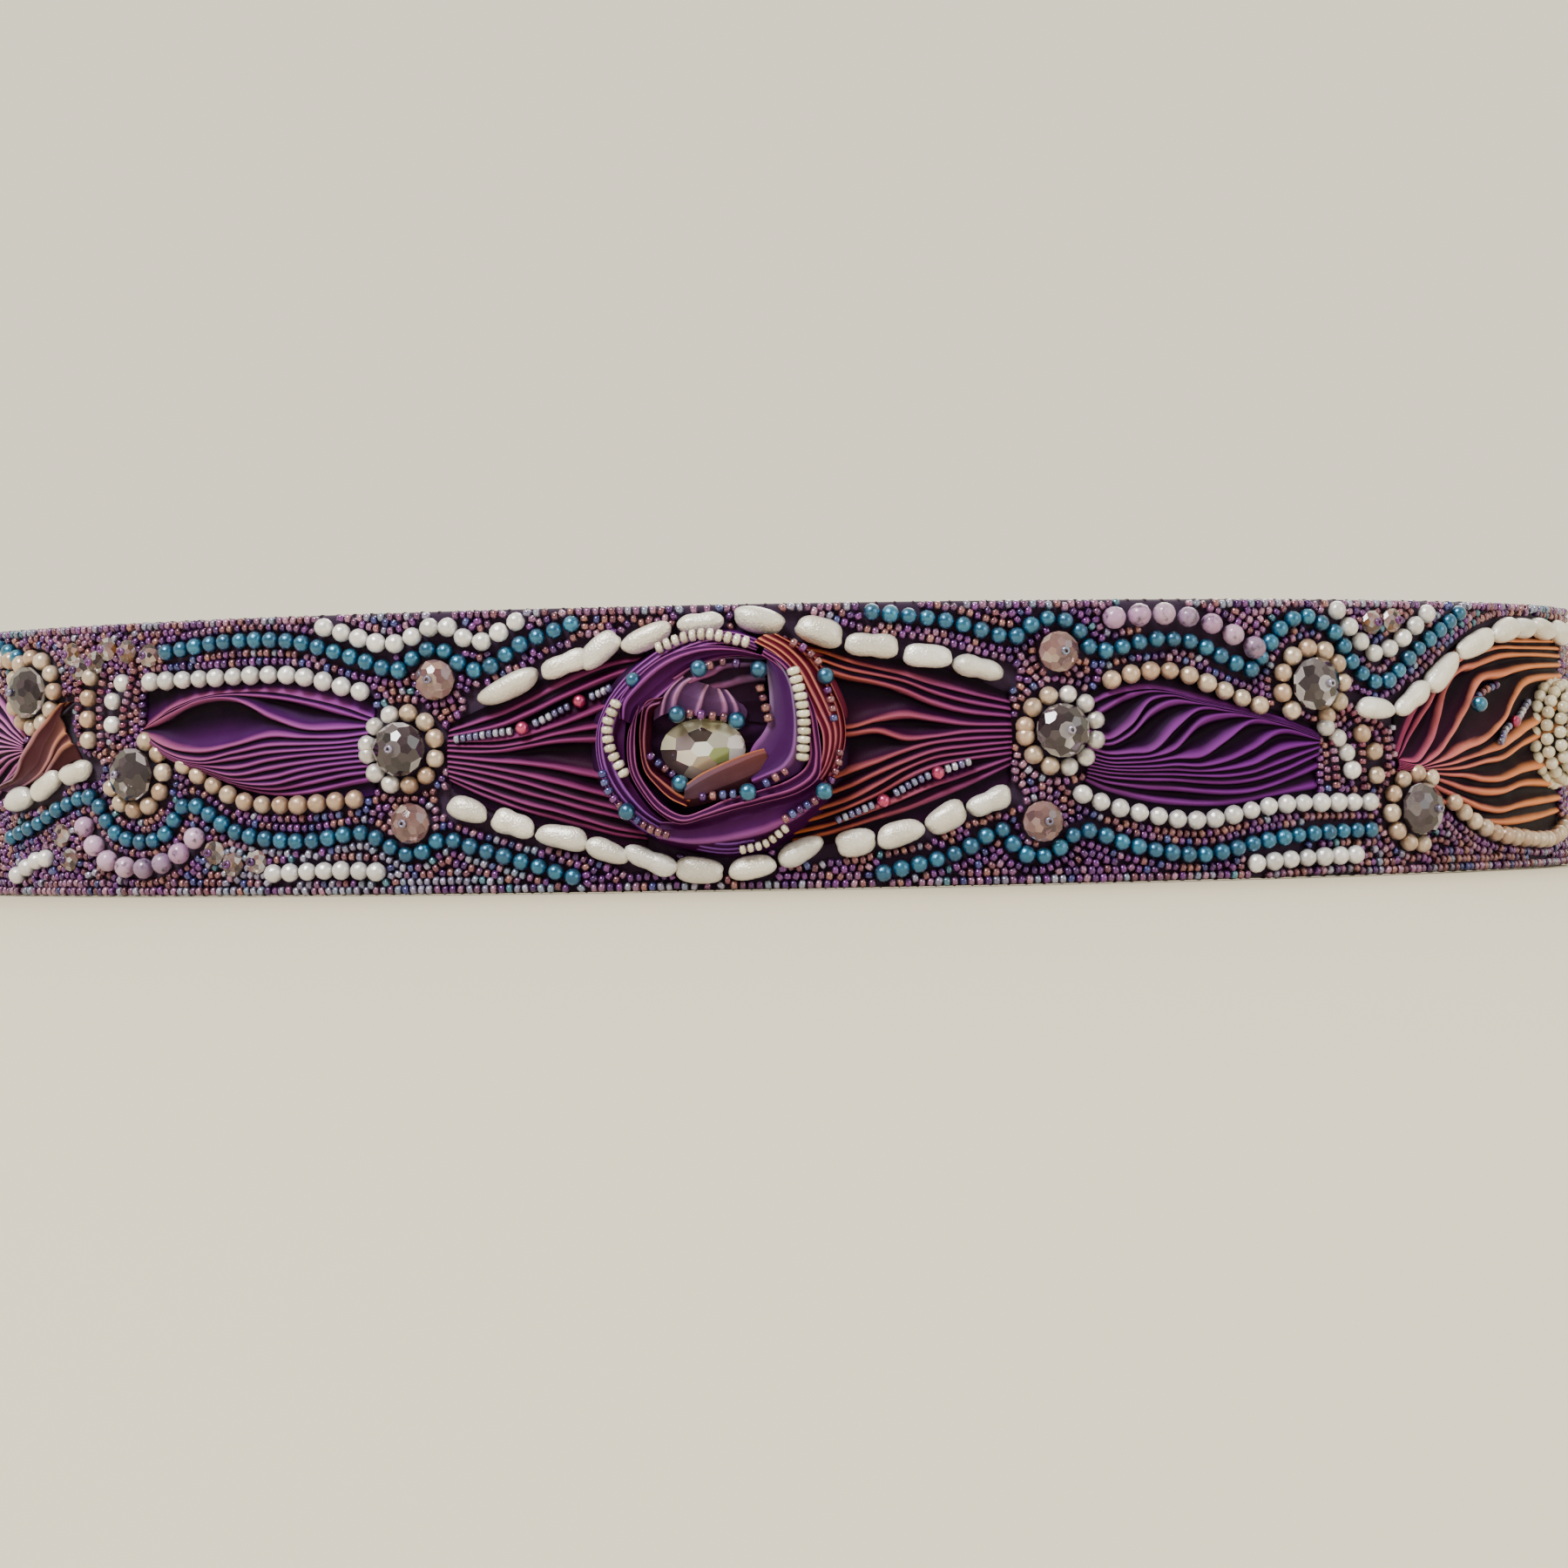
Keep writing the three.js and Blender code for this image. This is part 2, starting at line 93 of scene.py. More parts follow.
ROWS = {
    "teal_upper_left": [
        (-99.4, 18.4), (-86.5, 19.8), (-73.6, 19.4), (-61.4, 16.1), (-54, 14), (-50.6, 16.6),
        (-46.8, 17.4), (-43.2, 14.8), (-39.6, 13.6), (-32.7, 17.8), (-24, 21)],
    "teal_lower_left": [
        (-141.5, -13.4), (-133.4, -11.2), (-124.7, -7.8), (-117.6, -6.6), (-112.6, -12.4),
        (-106, -14.4), (-100.6, -13.2), (-95.6, -8), (-85.1, -13), (-72.5, -14.6), (-60.3, -13.4),
        (-57.4, -15), (-52, -17.2), (-46.9, -14.6), (-40.8, -16.2), (-24.5, -21.2)],
    "teal_upper_right": [
        (25.7, 22), (38.6, 20.3), (49.6, 17.6), (53.2, 20), (57, 20.6), (60.8, 18.2), (63, 15.2),
        (74.3, 17), (81.3, 16.3), (87.5, 13.3), (92, 11.8), (94.4, 15), (98.2, 19.3),
        (102.2, 20.8), (108.7, 17.8), (112.4, 12.6), (117, 9.6), (120.6, 10), (124.9, 13.7),
        (132.8, 18.7), (138, 21.6)],
    "teal_lower_right": [
        (26.9, -21.4), (39.4, -18.2), (47, -14.6), (49.3, -18), (53, -19.2), (57.4, -17.2),
        (60.2, -15), (69.9, -17.8), (82, -19.5), (93.9, -17.4), (105.9, -16.2), (115.6, -16)],
    "white_upper_left": [
        (-67.5, 21.6), (-55.9, 18.4), (-52.9, 19), (-46.5, 21.4), (-41.4, 18.6), (-39.4, 18.4),
        (-33.4, 21.6)],
    "white_lens_left": [(-103, 13.4), (-91.3, 13.6), (-73.2, 13.6), (-61, 10.6)],
    "white_lower_left": [(-78, -20), (-65, -19.6), (-58.6, -19.9)],
    "white_lens_right": [
        (60.6, -8.9), (66.2, -11.1), (78.3, -13.5), (83.9, -13.5), (96.2, -11.4), (115.4, -11.2)],
    "white_lower_right": [(92, -21.2), (100, -20.6), (112, -20.2)],
    "white_arch": [(109, 21.8), (113.6, 16.8), (117.4, 14.4), (121.2, 15.8), (129.4, 21.4)],
    "cream_lens_left": [(-96, -1.2), (-89.5, -5), (-83.4, -7.7), (-74, -8.4), (-62.4, -7.6)],
    "cream_lens_right": [(66, 10.2), (71.4, 11.5), (77.8, 11.4), (84.6, 8.9), (93, 5.6)],
    "cream_outer_right": [
        (135.6, -11.6), (140.3, -14.6), (147, -17.1), (155.2, -18.2), (170, -18.6), (180, -16)],
    "cream_outer_left": [(-140.6, 18.4), (-152, 18.8), (-164, 14), (-173, 5), (-176.6, -4)],
    "cream_left": [(-117.4, 14.6), (-118.2, 9.4), (-118.2, 3.6)],
    "white_left": [(-109.6, 13.4), (-111.9, 10.8), (-112.2, 6.2)],
    "white_right": [(106.2, 1.8), (109.8, -1.2), (111.6, -5.6)],
    "cream_right": [(113.8, 0.6), (116.4, -2.4), (117, -6.6)],
    "mauve_right": [(66.5, 20.6), (75.8, 21.2), (84.5, 19.4), (92, 15.4)],
    "mauve_left": [
        (-119.4, -11.6), (-114.4, -17.2), (-105.2, -19), (-97.4, -16.6), (-93.8, -13.8)],
    "rice_left": [(-142, -7.2), (-129.8, -5), (-124.6, -2.2), (-117.6, -1.6)],
    "rice_upper_left": [(-40.4, 8.4), (-33.2, 11), (-26.2, 14.2), (-20.6, 16)],
    "rice_upper_right": [(13, 20.4), (25, 16.2), (33.8, 15), (47.6, 11.2)],
    "rice_lower_left": [(-45.6, -8.4), (-34.6, -12.2), (-20, -16.2), (-15, -18.4)],
    "rice_lower_right": [(19, -16.8), (33.7, -14), (40, -11.2), (48.4, -8.8)],
    "rice_outer_right": [
        (112.4, 5.6), (120.2, 4.2), (127.2, 7.5), (140.2, 15.9), (148.7, 18.7), (161, 19.4),
        (181, 18.8)],
}

# Crystals: place, width, kind of the pearls round it, and their first and last angle in degrees
CRYSTALS = {
    "centre_left": ((-53.7, 0.7), 8, "cream", -172, 172),
    "centre_right": ((57.1, 1.8), 8, "cream", -172, 172),
    "lens_left": ((-106.8, -2.6), 8, "cream", -158, 66),
    "lens_right": ((103.6, 9.2), 8, "cream", -62, 226),
    "outer_left": ((-133.5, 12.4), 8, "cream", -156, 156),
    "outer_right": ((126.4, -12.6), 8, "cream", 60, 280),
    "upper_left": ((-47.4, 12.2), 6, None, 0, 0),
    "lower_left": ((-52.2, -11.8), 6, None, 0, 0),
    "upper_right": ((56.8, 15), 6, None, 0, 0),
    "lower_right": ((53.6, -13.3), 6, None, 0, 0),
}

# Creases of each silk panel: stations u along the sash, then the height v of each
# crest at those stations, from the upper edge of the panel to the lower one
CRESTS = {
    "lens_left": (
        [-105, -98.5, -91.5, -84.5, -77.5, -71, -64.5, -59],
        [
            [5.6, 8.9, 10.7, 11.2, 11, 9.8, 8.2, 6.2],
            [5.3, 8.3, 10.3, 10.7, 10.1, 9, 7.2, 5.5],
            [5.1, 7.6, 9.9, 9.9, 6.8, 4.6, 4.5, 4.7],
            [4.8, 2, 1.1, 2.1, 3.5, 3.1, 3, 3.6],
            [4.6, 1, -0.4, 0.7, 1.8, 1.9, 2, 2.6],
            [4.5, 0.7, -0.9, -0.3, 0.6, 0.9, 1.2, 1.6],
            [4.4, 0.4, -1.3, -1.9, -0.7, 0, 0.3, 0.7],
            [4.3, 0.2, -1.6, -3.1, -2.1, -1.2, -0.6, -0.2],
            [4.2, 0, -1.9, -3.9, -3.6, -2.3, -1.5, -1.1],
            [4.1, -0.2, -2.2, -4.3, -4.8, -3.5, -2.5, -2],
            [4, -0.4, -2.5, -4.8, -5.7, -4.8, -3.6, -3],
            [3.9, -0.6, -2.8, -5.3, -6.5, -6.2, -5, -4],
        ],
    ),
    "lens_right": (
        [61.5, 65, 68.8, 72.6, 76.5, 81.2, 86.1, 91.1, 96.9, 104.7],
        [
            [5.6, 7.4, 8.3, 8.7, 8.3, 7, 5.9, 4.8, 3.5, 0.9],
            [3.6, 5.5, 7.6, 8.2, 7.9, 6.6, 5.6, 4.5, 3.3, 0.7],
            [1.8, 0.3, 2.4, 6.8, 7.4, 6.3, 5.4, 4.3, 3.1, 0.5],
            [0.3, -0.6, 1, 4.6, 6.5, 6, 5.1, 4.1, 2.9, 0.3],
            [-1.1, -2.2, -2.1, -1.7, 1.9, 5.2, 4.7, 3.9, 2.7, 0.1],
            [-2, -3, -3, -2.7, -1.5, 2.9, 4.2, 3.6, 2.5, 0],
            [-2.7, -3.7, -3.8, -3.6, -3.1, -2.8, 0.1, 3.1, 2.2, -0.2],
            [-3.4, -4.3, -4.5, -4.5, -4.3, -4.5, -3.6, -1.6, 1.3, -0.4],
            [-4.1, -4.8, -5.1, -5.1, -5.1, -5.4, -5.1, -4.2, -1.9, -0.8],
            [-4.7, -5.4, -5.7, -5.8, -5.9, -6.2, -6.3, -5.7, -4, -1.6],
            [-5.3, -6.1, -6.5, -6.7, -6.8, -7.2, -7.4, -7, -5.6, -2.8],
            [-5.9, -7, -7.6, -8, -8.2, -8.7, -9.1, -8.9, -7.5, -4.8],
            [-6.4, -7.9, -9, -9.9, -10.5, -10.9, -10.9, -10.4, -9.4, -8.2],
        ],
    ),
    "fan_inner_left": (
        [-45.5, -41, -36.5, -32, -27, -22, -17, -12],
        [
            [3.6, 4.8, 6.2, 8.2, 10.6, 12.6, 14.2, 15],
            [2.7, 3.4, 4.4, 6, 8.2, 10.4, 12.4, 13.6],
            [1.9, 1.8, 1.9, 2.6, 4, 5.8, 7.6, 9],
            [1.1, 0.9, 0.8, 1.4, 2.6, 3.4, 4, 4.4],
            [0.3, 0, 0.1, 0.7, 1.4, 1.7, 1.6, 1.4],
            [-0.7, -1.2, -1.7, -2.1, -2.8, -4, -5.1, -6],
            [-1.6, -2.2, -3, -4, -5.3, -6.7, -8, -9.2],
            [-2.4, -3.2, -4.2, -5.4, -7, -8.5, -9.9, -11.2],
            [-3.2, -4.3, -5.6, -7, -8.4, -9.9, -11.2, -12.4],
            [-4, -5.7, -7.4, -8.9, -10.2, -11.8, -13.3, -14.2],
            [-4.6, -6.7, -8.5, -10.1, -11.4, -12.8, -14.2, -15],
        ],
    ),
    "fan_inner_right": (
        [12, 17, 21.5, 26, 30.5, 35.5, 41, 48.6],
        [
            [16.6, 15.6, 14, 12.8, 11.7, 10, 8.5, 6.7],
            [15.4, 14.2, 12.6, 11.6, 10.5, 8.6, 7, 5.5],
            [14.2, 12.8, 11.3, 10.3, 9, 6.8, 5.2, 4.3],
            [3.8, 3.4, 2.8, 4, 4.7, 3.9, 3.1, 2.9],
            [2.2, 2.1, 1.9, 2.2, 0.8, 1.1, 1.8, 1.9],
            [-7, -6, -4.5, -2.9, -1.2, 0.1, 0.6, 0.9],
            [-9.6, -8.4, -6.8, -4.8, -3, -1.3, -0.6, 0],
            [-11.6, -10.4, -9, -6.8, -4.3, -2.4, -1.7, -0.9],
            [-13, -11.8, -10.3, -8.3, -5.8, -3.8, -2.7, -1.8],
            [-14.6, -13.6, -12.2, -10.6, -9, -7, -5.2, -2.7],
            [-15.8, -14.8, -13.6, -12.3, -10.9, -9, -7, -3.7],
        ],
    ),
    "fan_outer_right": (
        [122.3, 126.2, 130, 133.9, 138, 143.1, 149.5, 157.6, 176.6],
        [
            [-3.4, 3.5, 8.1, 12.4, 15.1, 16.5, 17, 17, 17.4],
            [-3.7, 1.7, 5.7, 10.6, 13.4, 14.7, 15.7, 15.8, 16],
            [-4.1, -4.3, -0.3, 9.2, 11.8, 12.7, 14.2, 14.6, 14.6],
            [-4.4, -5, -3.7, -0.6, 3.9, 10, 10.8, 12.2, 13],
            [-4.6, -5.3, -4.7, -3.7, -2.2, -0.9, 2.5, 9.2, 11],
            [-4.8, -5.6, -5.3, -4.9, -4.1, -3.1, -1.9, 0.9, 5.9],
            [-5.1, -5.7, -5.8, -5.8, -5.5, -4.6, -3.9, -1.2, 2.1],
            [-5.3, -6, -6.5, -6.8, -7, -7.7, -7.7, -6.2, -4.9],
            [-5.5, -6.3, -7.3, -8.2, -9.2, -9.9, -10, -8.7, -9.1],
            [-5.7, -7, -8.4, -9.8, -11.2, -12.8, -13.4, -12.4, -11.5],
            [-6, -7.7, -9.7, -11.6, -13.2, -14.7, -15.5, -15.4, -13.8],
        ],
    ),
    "fan_outer_left": (
        [-176, -170, -163, -156, -150, -145.3, -141, -137],
        [
            [3.2, 8.2, 11.6, 13.6, 12.8, 10.4, 7, 4.2],
            [2.4, 6.8, 9.8, 11.4, 10.6, 8.7, 6.1, 3.8],
            [1.4, 5, 7.6, 9, 8.4, 7, 5.2, 3.4],
            [0.4, 3.2, 5.4, 6.6, 6.3, 5.4, 4.3, 3.1],
            [-0.4, 1.6, 3.2, 4.2, 4.5, 4.2, 3.5, 2.8],
            [-1.4, 0, 1.2, 2, 2.6, 2.9, 2.8, 2.5],
            [-2.4, -2, -1.4, -0.4, 0.8, 1.7, 2.1, 2.2],
            [-3.4, -4.2, -4.4, -3.6, -1.8, 0, 1.2, 1.9],
            [-4.4, -6.4, -7.2, -6.6, -4.6, -1.8, 0.3, 1.6],
            [-5.4, -8.6, -10, -9.4, -7.4, -3.8, -0.8, 1.3],
        ],
    ),
}

# Where each panel's upper and lower edge runs under the pearls, at the same stations
TUCKS = {
    "lens_left": ([11.4, 12.8, 13.2, 13.2, 13.2, 13, 11.4, 9.4],
                  [3.4, -0.8, -3.8, -6.8, -7.9, -8.2, -7.9, -6.8]),
    "lens_right": ([7.4, 9.4, 10.6, 11.2, 11.2, 10, 8.1, 6.2, 4.8, 2.2],
                   [-8.6, -10.4, -11.6, -12.4, -13, -13.3, -13.1, -12.3, -11.2, -11]),
    "fan_inner_left": ([4.6, 6.8, 8.6, 10.6, 13, 14.8, 15.8, 16.2],
                       [-6, -8.6, -10.6, -12.2, -13.6, -14.8, -16, -16.2]),
    "fan_inner_right": ([17.4, 17, 15.8, 14.8, 14, 13, 11.4, 8.2],
                        [-17, -16.6, -15.8, -15, -13.8, -12.4, -10, -6.6]),
    "fan_outer_right": ([4, 6.2, 9, 12.6, 15.8, 17.4, 18.4, 18.8, 18.6],
                        [-6.4, -8.6, -10.8, -12.8, -14.6, -16.4, -17.6, -17.8, -16.2]),
    "fan_outer_left": ([4.6, 10, 13.4, 15.6, 15.2, 12.8, 9, 4.8],
                       [-6.8, -10.8, -12.6, -12, -9.6, -5.8, -2.2, 0.8]),
}

# How far each panel puffs up, and its dyes at the first and last station: crests, lightened as a
# painted highlight, then the cloth between them
PANEL_LOOK = {
    "lens_left": (2.3, "silk_plum", 0x9C5478, 0x8C4298, 0x42124E, 0x4E1464),
    "lens_right": (2.1, "silk_violet", 0x7C3A84, 0x722888, 0x22042C, 0x340640),
    "fan_inner_left": (1.7, "silk_magenta", 0x904680, 0x7C305E, 0x2C0632, 0x3C062A),
    "fan_inner_right": (1.7, "silk_coral", 0xAC5A2C, 0x843C7A, 0x2C0818, 0x3C0A3C),
    "fan_outer_right": (1.7, "silk_amber", 0xB0487C, 0xFFA466, 0x3E103A, 0x260A0E),
    "fan_outer_left": (1.7, "silk_rose", 0x8C4490, 0xD47EBC, 0x300A46, 0x46124E),
}

# Half the width in mm of the lit crest of a wide pleat
BODY = {"lens_left": 0.5, "lens_right": 0.66, "fan_outer_left": 0.5, "fan_outer_right": 0.6}

# Folds of the rosette and the knot: the lines' points [u, v] from the outside in, each line's
# height at its start, middle and end, which lines are plain and no crest, and the dyes at start
# and end, crests lightened as a painted highlight, then the cloth between them
FOLDS = {
    "outer_left": (
        [
            [(8, 17.8), (3.5, 19.4), (-1, 19.8), (-6.4, 18.6), (-12.2, 15.3), (-17, 10.8),
             (-19.9, 5.6), (-20.6, 0.6), (-19.9, -4.4), (-17.7, -9.4), (-13.9, -13.4),
             (-9.1, -16), (-3.4, -17.6), (1.3, -18.1), (6.7, -17.6)],
            [(7.6, 17.3), (3.4, 18.8), (-1, 19.1), (-6.1, 17.8), (-11.6, 14.6), (-16.3, 10.2),
             (-19.1, 5.2), (-19.9, 0.6), (-19.1, -4.1), (-17, -9), (-13.3, -12.8),
             (-8.8, -15.3), (-3.4, -16.9), (1.3, -17.6), (6.4, -17)],
            [(7.3, 16.8), (3.4, 18.2), (-1, 18.4), (-5.7, 17), (-10.8, 13.9), (-15.7, 9.5),
             (-18.5, 4.9), (-19.1, 0.6), (-18.4, -3.9), (-16.2, -8.5), (-12.6, -12.2),
             (-8.5, -14.5), (-3.4, -16.2), (1.3, -16.9), (6.1, -16.3)],
            [(7, 16.2), (3.4, 17.5), (-1, 17.6), (-5.3, 16.2), (-10.3, 13.2), (-15.1, 8.9),
             (-17.8, 4.6), (-18.3, 0.6), (-17.6, -3.5), (-15.3, -7.9), (-12, -11.4),
             (-8.2, -13.7), (-3.7, -15.1), (1.1, -16), (5.8, -15.5)],
            [(6.7, 15.8), (3.4, 16.9), (-1.1, 16.9), (-5, 15.5), (-9.8, 12.5), (-14.4, 8.3),
             (-16.2, 4.2), (-16.6, 0.5), (-16, -3.6), (-14.4, -7), (-11.2, -10.8),
             (-7.6, -12.9), (-3.7, -14.2), (0.8, -15.1), (5.5, -14.7)],
            [(6.4, 15.2), (3.4, 16.2), (-1.1, 16.2), (-5, 14.8), (-9.8, 11.8), (-13.6, 7.8),
             (-14.2, 4), (-14.5, 0), (-14.1, -4.2), (-12.5, -7.5), (-9.8, -11),
             (-7, -12.4), (-3.7, -13.2), (0.8, -14.2), (5.5, -13.8)],
        ],
        [(0.8, 0.8, 0.8), (3, 3.2, 2.2), (4.8, 5, 3.6), (6.2, 6.6, 4.6), (6.8, 7.2, 5.6),
         (5.6, 7.2, 5.4)],
        (0, 5), "silk_violet", (0xA65CA6, 0x8652B4, 0x56206C, 0x44206A),
    ),
    "outer_right": (
        [
            [(16.5, 16.1), (18.2, 14.2), (19.8, 10.4), (21.3, 6.6), (21.7, 2.3), (21.1, -2.1),
             (19.7, -5.8), (17.7, -9.5), (14.5, -12.8)],
            [(12.3, 17.7), (15.4, 15.4), (17.8, 12), (19.4, 8.5), (20.6, 5.3), (20.9, 1.8),
             (20.2, -2.1), (18.7, -5.6), (16.4, -8.8), (13.3, -11.7)],
            [(9.7, 18.6), (13.2, 16.4), (16, 13.3), (17.9, 9.7), (19.4, 5.9), (20, 2),
             (19.3, -2), (17.8, -5.3), (15.3, -8.3), (12.2, -10.9)],
            [(7.9, 18.4), (11.4, 16.3), (14.4, 13.1), (16.2, 9.7), (17.9, 5.8), (19, 2.2),
             (18.4, -1.9), (16.9, -5.1), (14.3, -7.8), (11.3, -10.1)],
            [(7, 17.8), (10.4, 15.7), (13.2, 12.8), (15, 9.2), (16.7, 5.5), (18, 1.9),
             (17.6, -2.2), (16.1, -5.2), (13.4, -7.5), (10.4, -9.3)],
            [(6.4, 17.2), (9.6, 15.2), (12.3, 12.2), (14, 8.8), (15.6, 5.2), (16.8, 1.8),
             (16.6, -2.2), (15.2, -4.9), (12.6, -6.8), (9.8, -8.6)],
        ],
        [(0.8, 0.8, 0.8), (2.6, 3, 2.4), (4.2, 4.8, 4), (5.8, 6.2, 5.4), (7, 7.4, 6.8),
         (7.4, 8, 7.4)],
        (0,), "silk_amber", (0xD4845E, 0xB85E8C, 0x6C2434, 0x681E54),
    ),
    "petal": (
        [
            [(-9, -12.2), (-5.2, -12.2), (-1.6, -11.4), (2.6, -10.1), (7.4, -8.9), (12.8, -7.4),
             (16.1, -5.4)],
            [(-9.4, -13.4), (-5.2, -13.6), (-1, -13), (3.5, -11.8), (8.3, -10.5), (13.4, -8.8),
             (17, -6.1)],
            [(-10, -14.7), (-5.2, -15.6), (-0.4, -15.5), (4.4, -14.7), (9.1, -13.2),
             (13.9, -10.8), (17.7, -7.4)],
            [(-9.7, -15.8), (-4.6, -17.3), (0.7, -18.2), (6.1, -17.8), (10.9, -16),
             (15.4, -12.6), (19, -8.1)],
        ],
        [(6.6, 8, 7), (6.6, 7.8, 7.2), (5.4, 6.2, 6), (0.8, 0.8, 0.8)],
        (1, 3), "silk_plum", (0x8A5096, 0x964A92, 0x502068, 0x581C6A),
    ),
    "middle": (
        [
            [(-12.3, 5.4), (-13.5, 3.3), (-13.9, -0.2), (-13.5, -3.9), (-12, -7), (-9.3, -10.5),
             (-5.8, -12.6), (-1.9, -11.7), (2.3, -10.5), (7.4, -9.3), (12.8, -7.8), (16, -5.4),
             (16.5, -2), (16.2, 2.1), (15.5, 6.1), (13.7, 10.4), (11.1, 13.9), (7.9, 16.1)],
            [(-12.1, 6.3), (-13, 3.6), (-13.3, -0.2), (-12.9, -3.8), (-11.4, -6.9),
             (-8.9, -10.2), (-5.4, -12), (-1.8, -11.1), (2.1, -9.8), (7.1, -8.5), (12.2, -7),
             (15.1, -4.8), (15.7, -1.8), (15.4, 1.9), (14.8, 5.8), (13.1, 9.9), (10.6, 13.4),
             (7.7, 15.5)],
            [(-11.9, 7.1), (-12.5, 3.9), (-12.7, 0), (-12.3, -3.6), (-10.7, -6.7), (-8.2, -9.6),
             (-5.1, -11.2), (-1.8, -10.2), (1.5, -8.7), (6.3, -7.4), (11.1, -5.8), (13.9, -3.8),
             (14.8, -1.5), (14.6, 1.8), (14.1, 5.5), (12.5, 9.4), (10.2, 12.9), (7.5, 15)],
        ],
        [(8, 8.2, 8.4), (8.9, 9.2, 8.8), (8.2, 8.4, 8.2)],
        (), "silk_coral", (0xA45A8C, 0x9E4E8C, 0x40144A, 0x4C1046),
    ),
    "inner": (
        [
            [(-8.1, 8.4), (-10.8, 7.7), (-11.8, 4.2), (-11.9, 0), (-11.2, -3.8), (-9.5, -6.2),
             (-7.3, -8.4), (-4.8, -9.7)],
            [(-8.7, 7.4), (-10.5, 6.6), (-11.1, 3.8), (-11.3, -0.1), (-10.5, -3.5),
             (-8.8, -5.4), (-6.6, -7.3), (-4.2, -8.7)],
            [(-9, 6.1), (-10.1, 5.4), (-10.4, 2.9), (-10.6, -0.2), (-9.6, -3.2), (-7.7, -4.8),
             (-5.6, -6.2), (-3.9, -7.2)],
        ],
        [(7.6, 7.6, 7.2), (7.4, 7.2, 6.8), (5, 5, 5)],
        (2,), "silk_coral", (0x8E4E80, 0xC0704A, 0x3A1838, 0x421626),
    ),
    "arch": (
        [
            [(-15.2, 5), (-15.1, 8), (-13.2, 10.7), (-10.1, 13.7), (-6.5, 15.7), (-1.7, 16.7),
             (3.4, 16.3), (7.8, 14.9)],
            [(-14.4, 4.8), (-14, 7.6), (-11.8, 10.4), (-8.8, 13.1), (-5.3, 15), (-1.1, 16),
             (3.7, 15.8), (8, 14.7)],
            [(-13.7, 4.2), (-12.8, 6.8), (-10, 9.4), (-7.1, 11.8), (-4.1, 13.8), (-0.5, 15),
             (3.7, 15.3), (8.1, 14.5)],
            [(-13, 3.9), (-11.9, 6), (-9, 8.3), (-6.2, 10.7), (-3.5, 13), (-0.2, 14.4),
             (3.7, 14.9), (8.1, 14.3)],
        ],
        [(7, 7, 7.4), (8.4, 8.8, 8.2), (7.6, 8, 8), (7, 7.2, 7.4)],
        (2,), "silk_plum", (0x8A4898, 0xA0508C, 0x541E6A, 0x561650),
    ),
    "fold": (
        [
            [(8.6, 15.6), (11.4, 13.4), (13, 10), (14, 6.2), (14.5, 2.2), (14.5, -1.4),
             (13.4, -4), (10.8, -5.6), (6.4, -7.2)],
            [(8.4, 15.2), (10.6, 12.9), (12, 9.9), (12.5, 6), (12.6, 2.3), (12.2, -1.2),
             (10.6, -3.6), (7.8, -4.9), (5.6, -5.8)],
            [(8.3, 14.6), (9.6, 12.2), (10.4, 9.2), (10.8, 5), (10.2, 2), (9, -0.6),
             (7.4, -2.2), (6.2, -3.2), (5.2, -3.8)],
            [(8.2, 13.6), (8.4, 11), (8.6, 8.4), (8.6, 6), (8.2, 3.6), (7.2, 1.8), (6.2, 0.6),
             (5.6, -0.4), (5.2, -1.4)],
        ],
        [(7.2, 7.2, 6.6), (8.4, 8.6, 7.6), (8, 8, 7.2), (7, 6.4, 6)],
        (0, 2), "silk_indigo", (0x84789C, 0x7E3A84, 0x58486A, 0x4A1650),
    ),
    "hood": (
        [
            [(-6.6, 11.4), (-3.2, 13.4), (0.1, 14.4), (3.7, 14.7), (7.8, 14.3)],
            [(-4.6, 10.4), (-2.6, 11.4), (-0.7, 12), (1.6, 13.2), (6.8, 13.6)],
            [(-5.2, 8), (-2.6, 9.2), (1, 10), (4.4, 11), (8.1, 11.2)],
            [(-6, 5.6), (-2, 6.4), (1.6, 7), (4.6, 7.4), (8, 7.6)],
            [(-6.4, 3.6), (-2.2, 4), (1.8, 4.2), (4.8, 4.2), (7.9, 3.8)],
        ],
        [(7.6, 8, 7.8), (7, 7.4, 7), (6, 6.4, 5.6), (5, 5.4, 5), (4.2, 4.4, 4.2)],
        (3, 4), "silk_plum", (0xA05890, 0x483C5C, 0x241430, 0x160C1E),
    ),
    "puff": (
        [
            [(-10, 4.6), (-9.6, 7.2), (-8, 9.8), (-5.6, 12)],
            [(-8.5, 5.4), (-7.9, 8.1), (-6.7, 10.1), (-5, 11.7)],
            [(-6.6, 6), (-6.1, 8.6), (-5, 10.5), (-3.6, 11.4)],
            [(-4.6, 5.6), (-4, 7.6), (-3.1, 9.4), (-2.2, 10.7)],
            [(-3, 5.2), (-2.3, 7.2), (-1.6, 9.2), (-1, 10.3)],
            [(-0.7, 5.2), (-0.6, 7), (-0.7, 8.8), (-0.5, 9.9)],
            [(1.6, 5), (1.7, 6.6), (1.2, 8.4), (0.6, 9.6)],
            [(3.4, 4.8), (3.4, 6.4), (2.8, 8), (1.8, 9.4)],
            [(4.6, 4.2), (5, 5.8), (4.2, 7.2), (3, 8.8)],
        ],
        [(5.4, 6, 6), (7, 7.8, 7.2), (7.2, 8, 7.4), (6.2, 6.8, 6.6), (6.6, 7.4, 6.8),
         (6, 6.6, 6.4), (6.4, 7.2, 6.6), (5.8, 6.2, 6), (4.8, 5, 5)],
        (0, 3, 5, 8), "silk_plum", (0x9C6496, 0xC08AB0, 0x5A3A66, 0x6A4A72),
    ),
    "tube": (
        [
